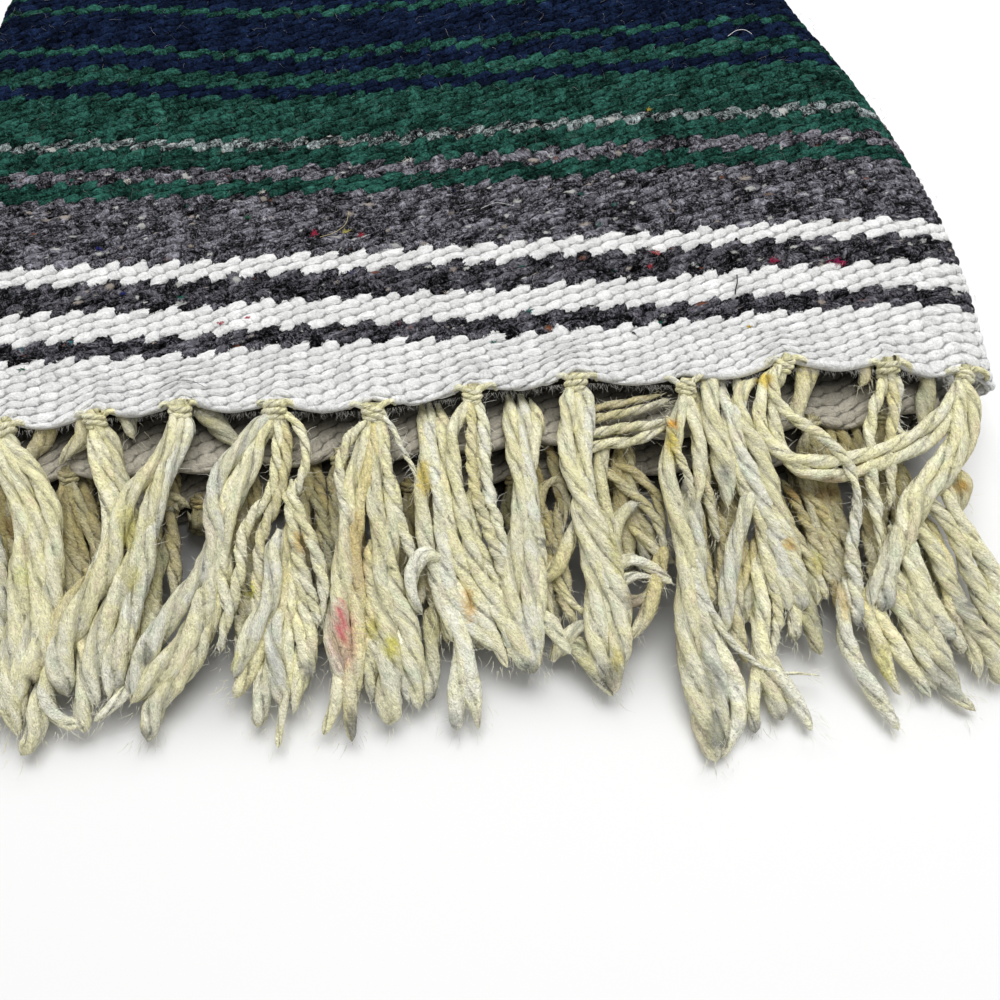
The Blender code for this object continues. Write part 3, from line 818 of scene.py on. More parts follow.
NEP_COLOURS = (
    (0.00, srgb(200, 200, 196)), (0.40, srgb(140, 24, 70)), (0.47, srgb(190, 170, 70)),
    (0.53, srgb(44, 46, 120)), (0.62, srgb(24, 100, 84)), (0.72, srgb(130, 76, 46)),
    (0.80, srgb(170, 160, 150)), (0.92, srgb(30, 30, 34)),
)


@made_once("node_groups", "Wool neps")
def nep_group(name):
    """Small knots of stray coloured wool spun into recycled yarn."""
    tree, given, result = new_group(
        name, (("Vector", "Vector"), ("Spacing", "Float"), ("Share", "Float")),
        (("Nep", "Float"), ("Colour", "Color")))
    x, y, z = add_parts(tree, given["Vector"])
    bend = add_noise(tree, given["Vector"], 1.6, 2.0)
    drawn = add_vector(tree, times_plus(tree, x, 0.55, bend), times_plus(tree, bend, 1.6, y), z)
    cells = tree.nodes.new("ShaderNodeTexVoronoi")
    feed(tree, cells.inputs["Vector"], drawn)
    feed(tree, cells.inputs["Scale"], over(tree, 1.0, given["Spacing"]))
    draw = add_parts(tree, cells.outputs["Color"])
    chosen = add_math(tree, "LESS_THAN", draw[0], given["Share"])
    reach = add_range(tree, draw[1], 0.0, 1.0, 0.14, 0.42)
    limits = times(tree, reach, 1.25), times(tree, reach, 0.55)
    near = add_range(tree, cells.outputs["Distance"], *limits)
    feed(tree, result["Nep"], times(tree, chosen, near))
    feed(tree, result["Colour"], add_ramp(tree, draw[2], NEP_COLOURS, stepped=True))
    return tree


def new_material(name, roughness, sheen, gloss=0.15):
    """A woolly material and its shader, with a matt surface and a soft bloom of fibres."""
    material = bpy.data.materials.new(name)
    material.use_nodes = True
    shader = material.node_tree.nodes["Principled BSDF"]
    shader.inputs["Roughness"].default_value = roughness
    shader.inputs["Sheen Weight"].default_value = sheen
    shader.inputs["Sheen Roughness"].default_value = 0.6
    shader.inputs["Specular IOR Level"].default_value = gloss
    return material, material.node_tree, shader


def add_bump(tree, shader, height, distance):
    """Relief in metres from a height of 0 to 1."""
    node = tree.nodes.new("ShaderNodeBump")
    node.inputs["Distance"].default_value = distance
    feed(tree, node.inputs["Height"], height)
    tree.links.new(node.outputs["Normal"], shader.inputs["Normal"])


WEAVE_BUMP = 0.42  # depth of the fine relief of the cloth's fibres
YARN_BUMP = 0.5  # and of the fringe's

# How strongly the fibres of each yarn differ in tone
MOTTLE = {"white": 0.05, "charcoal": 1.0, "grey": 0.9, "speckled": 1.0, "green": 0.5,
          "navy": 0.42}


@made_once("materials", "Striped wool")
def striped_wool(name):
    """The woven stripes: each pick in its yarn, mottled and flecked with stray wool."""
    sizes = bpy.context.scene.serape_cloth
    material, tree, shader = new_material(name, 0.95, 0.0, 0.03)
    places = tree.nodes.new("ShaderNodeUVMap")
    places.uv_map = "Weave"
    across, along = add_parts(tree, places.outputs["UV"])[:2]
    weft = add_group(tree, weft_group(), Across=across, Along=along)
    spread = []
    for shift in (3.0, 9.0):
        drawn = add_vector(tree, across, times(tree, along, 0.3), shift)
        spread.append(minus(tree, add_noise(tree, drawn, 2.2, 3.0, 0.7), 0.5))
    dyed = add_group(tree, weft_group(), Across=times_plus(tree, spread[0], 0.8, across),
                     Along=times_plus(tree, spread[1], 1.9, along))
    distance = size_of(tree, plus(tree, dyed["Pick"], 0.5))
    folded = over(tree, add_math(tree, "PINGPONG", distance, HALF_ROWS), HALF_ROWS)
    starts = [sum(s.rows for s in STRIPES[:i]) / HALF_ROWS for i in range(len(STRIPES))]
    yarn = add_ramp(tree, folded, [(at, tuple(getattr(sizes, stripe.yarn)))
                                   for at, stripe in zip(starts, STRIPES)], stepped=True)
    mottle = add_ramp(tree, folded, [(at, (MOTTLE[stripe.yarn],) * 3)
                                     for at, stripe in zip(starts, STRIPES)], stepped=True)

    x = times(tree, across, WARP_PITCH)
    y = times(tree, along, HALF_WIDTH / HALF_ROWS)
    flat = add_vector(tree, x, y, 0.0)
    drawn_x = times_plus(tree, weft["Ahead"], WARP_PITCH, times(tree, weft["Warp"], 31.7))
    drawn_y = times(tree, weft["Pick"], 17.3)
    drawn_y = times_plus(tree, weft["Cross"], HALF_WIDTH / HALF_ROWS, drawn_y)
    drawn = add_vector(tree, drawn_x, drawn_y, 0.0)
    fibres = add_group(tree, fibre_group(), Vector=drawn, Stretch=2.2, Fineness=1.5)
    clumps = add_noise(tree, flat, 0.95, 3.0, 0.75, 0.8)
    fine = add_noise(tree, flat, 2.6, 2.0, 0.6)
    blotches = add_noise(tree, flat, 0.16, 2.0)
    crossing = add_group(tree, crossing_group(), Vector=flat, Fineness=0.8)["Fibre"]
    grain_tone = tree.nodes.new("ShaderNodeTexWhiteNoise")
    grain_tone.noise_dimensions = "2D"
    feed(tree, grain_tone.inputs["Vector"], add_vector(tree, weft["Pick"], weft["Warp"], 0.0))

    uneven = 0.0
    for value, share in ((fibres["Tone"], 0.6), (clumps, 0.75), (fine, 0.5), (blotches, 0.35),
                         (grain_tone.outputs["Value"], 0.13)):
        centred = minus(tree, value, 0.5)
        uneven = times_plus(tree, centred, share, uneven)
    strength = times_plus(tree, mottle, 22.0, 0.4)
    bright = add_math(tree, "EXPONENT", times(tree, uneven, strength))
    bright = over(tree, times(tree, bright, 3.5), plus(tree, bright, 2.5))
    # Painted shade: the grooves between the grains are darkened, most in the dark yarns
    ragged = times_plus(tree, minus(tree, clumps, 0.5), 0.7, weft["Relief"])
    deepest = add_range(tree, mottle, 0.05, 0.4, 0.48, 0.26)
    groove = add_range(tree, ragged, 0.12, 0.80, deepest, 1.0)
    shade = times(tree, bright, groove)
    light = times(tree, crossing, add_range(tree, mottle, 0.0, 1.0, -0.05, 1.3))
    shade = times_plus(tree, shade, light, shade)
    colour = add_shade(tree, yarn, shade)

    for spacing, share in ((2.1, 0.16), (1.2, 0.10)):
        neps = add_group(tree, nep_group(), Vector=flat, Spacing=spacing, Share=share)
        nep_share = times(tree, neps["Nep"], add_range(tree, mottle, 0.45, 0.95, 0.0, 0.8))
        colour = add_mix(tree, "MIX", nep_share, colour, neps["Colour"])
    # The Tone attribute holds painted shade on the lower layers
    tone = add_attribute(tree, "Tone")["Color"]
    colour = add_mix(tree, "MULTIPLY", 1.0, colour, tone)
    tree.links.new(colour, shader.inputs["Base Color"])
    height = add_shares(tree, fibres["Fuzz"], (weft["Relief"], 0.8), (clumps, 0.9), (fine, 0.6),
                        (crossing, 0.25))
    add_bump(tree, shader, height, WEAVE_BUMP * MM)
    return material


@made_once("materials", "Fringe wool")
def fringe_wool(name):
    """The undyed yarn of the fringe, with its own tone and painted shade in every part."""
    material, tree, shader = new_material(name, 0.95, 0.05, 0.08)
    tone = add_attribute(tree, "Tone")["Color"]
    place = add_attribute(tree, "Grain")["Vector"]
    fibres = add_group(tree, fibre_group(), Vector=place, Stretch=3.0, Fineness=2.0)
    fine = add_noise(tree, place, 2.4, 2.0, 0.6)
    tufts = add_noise(tree, place, 0.8, 3.0, 0.7, 0.6)
    crossing = add_group(tree, crossing_group(), Vector=place, Fineness=0.9)["Fibre"]
    y, z = add_parts(tree, place)[1:]
    radius = add_math(tree, "SQRT", times_plus(tree, y, y, times(tree, z, z)))
    rise = over(tree, size_of(tree, z), add_math(tree, "MAXIMUM", radius, 0.05))
    # Painted shade: the furrows where the plies meet are darkened
    ragged = times_plus(tree, minus(tree, tufts, 0.5), 0.9, rise)
    furrow = times(tree, add_range(tree, ragged, 0.0, 0.34, 1.0, 0.0),
                   add_range(tree, add_noise(tree, place, 0.35), 0.42, 0.62, 0.05, 1.0))
    shade = add_range(tree, fibres["Tone"], 0.36, 0.64, 0.84, 1.14)
    for value, *limits in ((tufts, 0.34, 0.66, 0.88, 1.12), (fine, 0.32, 0.68, 0.84, 1.16),
                           (furrow, 0.0, 1.0, 1.0, 0.62)):
        shade = times(tree, shade, add_range(tree, value, *limits))
    shade = times_plus(tree, crossing, 0.12, shade)
    tint = add_ramp(tree, add_noise(tree, place, 0.13, 2.0), (
        (0.28, (0.93, 1.0, 0.96)), (0.44, (1.0, 1.0, 1.0)), (0.56, (0.99, 0.99, 0.84)),
        (0.70, (1.0, 0.94, 0.86))))
    colour = add_shade(tree, add_mix(tree, "MULTIPLY", 1.0, tone, tint), shade)
    specks = add_noise(tree, place, 1.3, 3.0, 0.8)
    colour = add_mix(tree, "MIX", add_range(tree, specks, 0.72, 0.82, 0.0, 0.3), colour,
                     srgb(120, 112, 92))
    tree.links.new(colour, shader.inputs["Base Color"])
    height = add_shares(tree, fibres["Fuzz"], (tufts, 0.9), (fine, 0.7), (furrow, -0.8),
                        (crossing, 0.3))
    add_bump(tree, shader, height, YARN_BUMP * MM)
    return material


@made_once("materials", "Stray fibre")
def stray_fibre(name):
    """Single loose fibres, each in its own tone."""
    material, tree, shader = new_material(name, 0.8, 0.0)
    tone = add_attribute(tree, "Tone")["Color"]
    place = add_attribute(tree, "Grain")["Vector"]
    fibres = add_group(tree, fibre_group(), Vector=place, Stretch=4.0, Fineness=2.0)
    shade = add_range(tree, fibres["Tone"], 0.3, 0.7, 0.85, 1.1)
    tree.links.new(add_shade(tree, tone, shade), shader.inputs["Base Color"])
    return material


# The painted shadow of the floor under the fringe: it grows, fades behind and fades beside
# between these places, with +Y behind the top edge, and it leaves this share of the light
FLOOR_AHEAD, FLOOR_BEHIND, FLOOR_BESIDE = (-90.0, -42.0), (-5.0, 25.0), (115.0, 140.0)
FLOOR_SHADE = 0.45


def floor_paper():
    """The pale seamless floor, with a painted shadow where the fringe lies."""
    sizes = bpy.context.scene.serape_stage
    material = bpy.data.materials.new("Pale floor")
    material.use_nodes = True
    tree = material.node_tree
    shader = tree.nodes["Principled BSDF"]
    shader.inputs["Roughness"].default_value = 0.9
    shader.inputs["Specular IOR Level"].default_value = 0.1
    places = tree.nodes.new("ShaderNodeTexCoord")
    cloud = add_noise(tree, places.outputs["Object"], 3.0, 2.0)
    shade = add_range(tree, cloud, 0.2, 0.8, 0.985, 1.0)
    x, y = add_parts(tree, places.outputs["Object"])[:2]
    ahead = add_range(tree, y, *((SHIFT[1] + place) * MM for place in FLOOR_AHEAD))
    behind = add_range(tree, y, *((SHIFT[1] + place) * MM for place in FLOOR_BEHIND), 1.0, 0.0)
    beside = add_range(tree, size_of(tree, x), *(place * MM for place in FLOOR_BESIDE), 1.0, 0.0)
    # Painted shadow under the fringe
    wear_and_shadow = times(tree, times(tree, ahead, behind), beside)
    shade = times(tree, shade, add_range(tree, wear_and_shadow, 0.0, 1.0, 1.0, FLOOR_SHADE))
    tree.links.new(add_shade(tree, tuple(sizes.floor), shade), shader.inputs["Base Color"])
    return material


# Fringe: the ways of its yarns over the floor, and its knots, in millimetres forward
# of the middle of the top edge

# Height of the yarns of each row at distances forward, the top row first
LEVELS = (
    ((-6, 25.0), (0, 24.4), (6, 23.8), (12, 22.8), (28, 18.0), (44, 12.4), (60, 9.0), (72, 5.8),
     (84, 2.8), (99, 2.5)),
    ((-6, 20.0), (6, 18.6), (12, 17.2), (28, 12.2), (42, 8.2), (56, 6.2), (66, 4.2), (80, 2.4)),
    ((-6, 12.0), (14, 10.2), (24, 7.4), (34, 5.8), (47, 4.6), (62, 3.0), (80, 2.2)),
    ((-6, 3.0), (16, 2.6), (24, 2.0), (99, 2.0)),
)

# A yarn: its tone, its thickness at the knot and at its tip, the length of one turn of its
# twist, the row whose height it keeps, and its way as (x, forward) with a drop where it has one
Yarn = namedtuple("Yarn", "tone start end lay level way")
# A tassel's knot: its place, the way its yarns leave it, its size
Knot = namedtuple("Knot", "x forward lean size")

TOP_KNOTS = table_of(
    Knot,
    (-129, 0, 0.1, 1), (-110.5, -1, 0.3, 1), (-88.5, -2, 0.15, 1), (-67.5, -3, -0.15, 1.05),
    (-44, -1.4, -0.1, 1.15), (-19.5, 1.6, -0.05, 1.05), (5.6, -1.8, -0.05, 0.9), (32, -2.8, -0.05, 1.05),
    (59.6, 0.8, -0.1, 0.95), (85.5, -4.2, -0.5, 0.95), (112, -1.2, -0.1, 1.05), (131, 2.4, -0.15, 0.9),
)

LEFT_YARNS = table_of(
    Yarn,
    ("straw", 3.2, 4.6, 24, 0, ((-129, 3), (-127, 12), (-123, 22), (-119, 34), (-117, 48), (-117, 60),
     (-115, 70))),
    ("cream", 3.2, 5, 20, 0, ((-130, 3), (-131, 12), (-130, 24), (-127, 36), (-126, 50), (-124, 62),
     (-123, 73))),
    ("cream", 3, 4.8, 20, 0, ((-131, 3), (-134, 12), (-135, 25), (-134, 40), (-133, 54), (-132, 66))),
    ("pale", 2.8, 4.4, 15, 0.2, ((-128, 3), (-123, 10), (-117, 18), (-113, 30), (-112, 44), (-111, 58),
     (-109, 70))),
    ("cream", 3.4, 5.2, 24, 0, ((-110.5, 1), (-106, 8), (-101.5, 15), (-98.5, 22), (-97.5, 30), (-99, 40),
     (-102, 50), (-106, 60), (-110, 67))),
    ("cream", 3.2, 5.6, 26, 0, ((-111, 2), (-109, 9), (-105.5, 16), (-102.5, 22), (-101.5, 30), (-102, 39),
     (-104, 48), (-107, 57), (-112, 66))),
    ("cream", 3.2, 5.8, 30, 0, ((-112, 3), (-111, 10), (-107.5, 17), (-104.8, 25), (-106.5, 34), (-108, 44),
     (-108.5, 54), (-108, 63), (-106.5, 72))),
    ("straw", 3, 4.6, 26, 0.4, ((-103, 24), (-104, 34), (-104.5, 43), (-106, 52), (-108, 62), (-107.5, 71))),
    ("cream", 3, 3.6, 18, 0, ((-89, 0), (-87.5, 7), (-86, 14), (-84.8, 21), (-85.6, 27), (-88, 33),
     (-91.5, 40))),
    ("cream", 3, 4.4, 18, 0.25, ((-87, 0), (-84.5, 6), (-82.5, 12), (-80.5, 18), (-79.5, 24), (-79.5, 32),
     (-80.5, 40), (-81.5, 48), (-82, 55))),
    ("cream", 2.6, 3, 12, 0.1, ((-88.5, 1), (-86, 8), (-84, 14), (-82.5, 20), (-83, 27))),
    ("cream", 3.5, 6.2, 30, -0.2, ((-68.5, -1), (-70, 5), (-72.5, 11), (-76.5, 16), (-80.5, 22), (-83, 28),
     (-86, 34), (-90, 41), (-94, 49), (-96, 57), (-95, 64))),
    ("cream", 3.4, 5.2, 26, -0.1, ((-67, -1), (-69, 6), (-70.5, 13), (-73.5, 20), (-77, 27), (-80, 34),
     (-83.5, 42), (-87, 51), (-89.5, 59), (-89.3, 66.5))),
    ("pale", 3.2, 4.8, 22, 0, ((-66, 0), (-67, 6), (-69.5, 12), (-72, 20), (-75, 27), (-77.5, 35),
     (-80, 43), (-82, 52), (-84.5, 59), (-85.5, 65))),
    ("tan", 4.2, 5.6, 30, 0.1, ((-82, 27), (-87, 34), (-93, 40), (-98, 47), (-101, 54), (-103.5, 60.5))),
    ("pale", 3.2, 3.4, 22, 0.1, ((-99, 56), (-101.2, 61), (-100.5, 66), (-97, 69.3), (-92.8, 70.3))),
    ("pale", 2.6, 2.6, 16, 0, ((-80, 62), (-83.5, 65.5), (-87, 68), (-89.8, 69.8))),
    ("cream", 3.2, 4.4, 18, 0.1, ((-79, 36), (-81, 44), (-81.5, 52), (-82.5, 58), (-84, 63.5))),
    ("olive", 3.2, 4.2, 16, 0.9, ((-74, 28), (-76, 36), (-76.5, 44), (-77, 52), (-76, 59), (-76.5, 68),
     (-78, 75))),
    ("cream", 3.6, 4.6, 22, 0.3, ((-94, 44), (-92.5, 52), (-92, 60), (-92, 67), (-91, 72))),
    ("cream", 3.6, 5, 22, 0.3, ((-97, 48), (-100, 58), (-103, 66), (-105, 73), (-107, 76))),
    ("pale", 3.6, 5.2, 26, -0.15, ((-45.5, 1), (-49, 4), (-52.5, 9), (-56.5, 15), (-59, 22), (-60, 30),
     (-63, 37), (-68, 44), (-73, 51), (-77.5, 58), (-81, 65))),
    ("cream", 3.6, 6, 30, 0, ((-44.5, 2), (-47.5, 7), (-50, 13), (-54, 18.5), (-57, 25), (-58.5, 33),
     (-61.5, 41), (-65, 49), (-70, 56), (-75.5, 61), (-80, 66.5))),
    ("cream", 3, 4.2, 18, 0, ((-46, 3), (-50, 8), (-53, 14), (-56.5, 20), (-58, 27), (-58.5, 35),
     (-58.5, 42), (-58, 47))),
    ("cream", 3.4, 4.8, 20, 0.3, ((-58, 34), (-60, 42), (-62, 50), (-65, 57), (-70, 62), (-76, 67),
     (-78, 74.5))),
    ("cream", 2.8, 3.5, 11, 0, ((-43.5, 2), (-44, 8), (-44, 14), (-45, 20), (-49.5, 25), (-53, 30),
     (-54.5, 37), (-56.5, 44), (-58, 51), (-58.6, 56.5))),
    ("straw", 2.8, 3.4, 11, 0.1, ((-42.5, 2), (-42, 8), (-42.5, 15), (-44, 22), (-47, 28), (-49, 35),
     (-50.5, 42), (-51.5, 50))),
    ("cream", 2.4, 2.6, 9, -0.1, ((-41, 1), (-38.5, 5), (-37, 10), (-37, 15), (-38.5, 19), (-40, 24),
     (-39, 29))),
    ("cream", 3, 3.2, 9.5, -0.2, ((-40, 20), (-38, 27), (-36.5, 33), (-35, 40), (-34.2, 46), (-34.6, 50.5))),
    ("cream", 3, 3.2, 9.5, -0.1, ((-42, 21), (-40.5, 28), (-39, 35), (-37.3, 43), (-36.2, 52))),
    ("pale", 3.6, 4.8, 26, -0.3, ((-44.5, 32), (-45, 39), (-47, 45), (-51, 51), (-54, 57), (-55.8, 63))),
    ("straw", 3, 3.8, 18, 0.2, ((-43, 30), (-43.5, 38), (-45, 46), (-48, 53), (-51.5, 60), (-54.5, 65),
     (-56, 67))),
    ("pale", 4, 4.6, 24, 0, ((-44.5, 48), (-46.3, 55), (-46.8, 62), (-46.4, 69.5))),
    ("cream", 3, 2.2, 18, 0.2, ((-42, 33), (-41.5, 42), (-42, 51), (-43.5, 59), (-45, 67), (-46, 73),
     (-46.2, 79))),
    ("cream", 3, 3.6, 14, 0.1, ((-40, 36), (-39, 44), (-38.5, 52), (-38.5, 58), (-37.8, 63.5))),
    ("cream", 4, 4.6, 24, 0.4, ((-43, 48), (-46, 58), (-49, 66), (-51.5, 74))),
    ("cream", 3.8, 4.2, 20, 0.3, ((-41, 46), (-40.5, 56), (-41, 64), (-42, 71.5))),
    ("olive", 2.8, 3.2, 10, 0.8, ((-36, 20), (-34.5, 27), (-33, 34), (-33.5, 42), (-35, 50))),
    ("cream", 2.8, 2.8, 11, -0.2, ((-21, 5), (-24.5, 7), (-27.5, 11), (-29, 16), (-28.5, 21), (-27, 26),
     (-26.4, 31))),
    ("cream", 3, 6.2, 28, 0, ((-20.5, 5), (-22.5, 10), (-25, 15), (-27, 20), (-27, 27), (-27.5, 35),
     (-29, 43), (-31, 51), (-32, 59), (-31, 66))),
    ("cream", 4.2, 3.6, 22, 0.1, ((-31, 58), (-31.5, 64), (-33.5, 71), (-35.5, 77))),
    ("tan", 3, 4, 22, -0.05, ((-19.5, 6), (-20.5, 12), (-22.5, 18), (-24.5, 24), (-25, 31), (-25.5, 39),
     (-26, 47), (-27, 56), (-28, 64), (-28.3, 71), (-28.3, 79))),
    ("cream", 3.2, 6, 26, 0, ((-18.5, 6), (-18.5, 12), (-19, 18), (-20, 25), (-20, 33), (-20.5, 41),
     (-19.5, 49), (-18, 57), (-18.5, 64), (-20, 70), (-21, 76))),
    ("cream", 2.8, 3.4, 10, 0, ((-17.5, 5), (-16.5, 11), (-16, 18), (-15.5, 25), (-14.5, 31), (-13, 36),
     (-11.6, 40))),
    ("cream", 4, 5.2, 24, 0.1, ((-17, 20), (-17, 30), (-17, 38), (-16, 46), (-14.5, 54), (-14.5, 62),
     (-13.5, 69), (-12.5, 73))),
    ("straw", 3, 3.2, 9, -0.1, ((-22.5, 36), (-23, 44), (-23.5, 51), (-22.5, 58), (-20.5, 62.5))),
    ("pale", 1.5, 1.3, 6, -0.1, ((-17, 3), (-14.5, 7), (-12.5, 12), (-10, 17), (-9, 23))),
    ("cream", 3.6, 4.4, 20, 0.4, ((-24, 44), (-24.5, 54), (-24, 62), (-23, 70))),
    ("pale", 3.4, 3.8, 20, 0.2, ((-19, 48), (-17, 56), (-16.5, 64), (-15.5, 71))),
    ("straw", 5, 4.6, 18, 0.35, ((-89, -8), (-92, -2), (-94, 3), (-97, 6), (-98.5, 9))),
    ("tan", 5, 4.2, 18, 0.6, ((-99, -8), (-101, -2), (-103, 2), (-106, 5), (-107, 8))),
    ("olive", 4.6, 4, 16, 0.45, ((-84, -9), (-82.5, -3), (-81, 1), (-80, 3))),
    ("olive", 5, 4.6, 20, 0.5, ((-66, -9), (-61, -3), (-57, 2), (-54, 6), (-52, 9))),
    ("tan", 3, 4, 13, 1, ((-94, 6), (-92.5, 14), (-90.5, 22), (-88, 31), (-88, 44))),
    ("straw", 3, 4, 11, 1, ((-94, 6), (-95.5, 14), (-97, 22), (-96, 31), (-94, 44))),
    ("tan", 3, 3.8, 12, 1, ((-72, 6), (-72, 14), (-72, 23), (-70.5, 31), (-71, 44))),
    ("straw", 3, 3.8, 12, 0.9, ((-75, 24), (-76, 38), (-77, 48), (-76, 58))),
    ("tan", 3, 4, 12, 1, ((-36, 6), (-35.5, 14), (-34, 27), (-33.5, 35), (-36, 48))),
    ("straw", 3, 3.8, 13, 1, ((-37.5, 6), (-38, 14), (-38.5, 26), (-39, 40))),
)

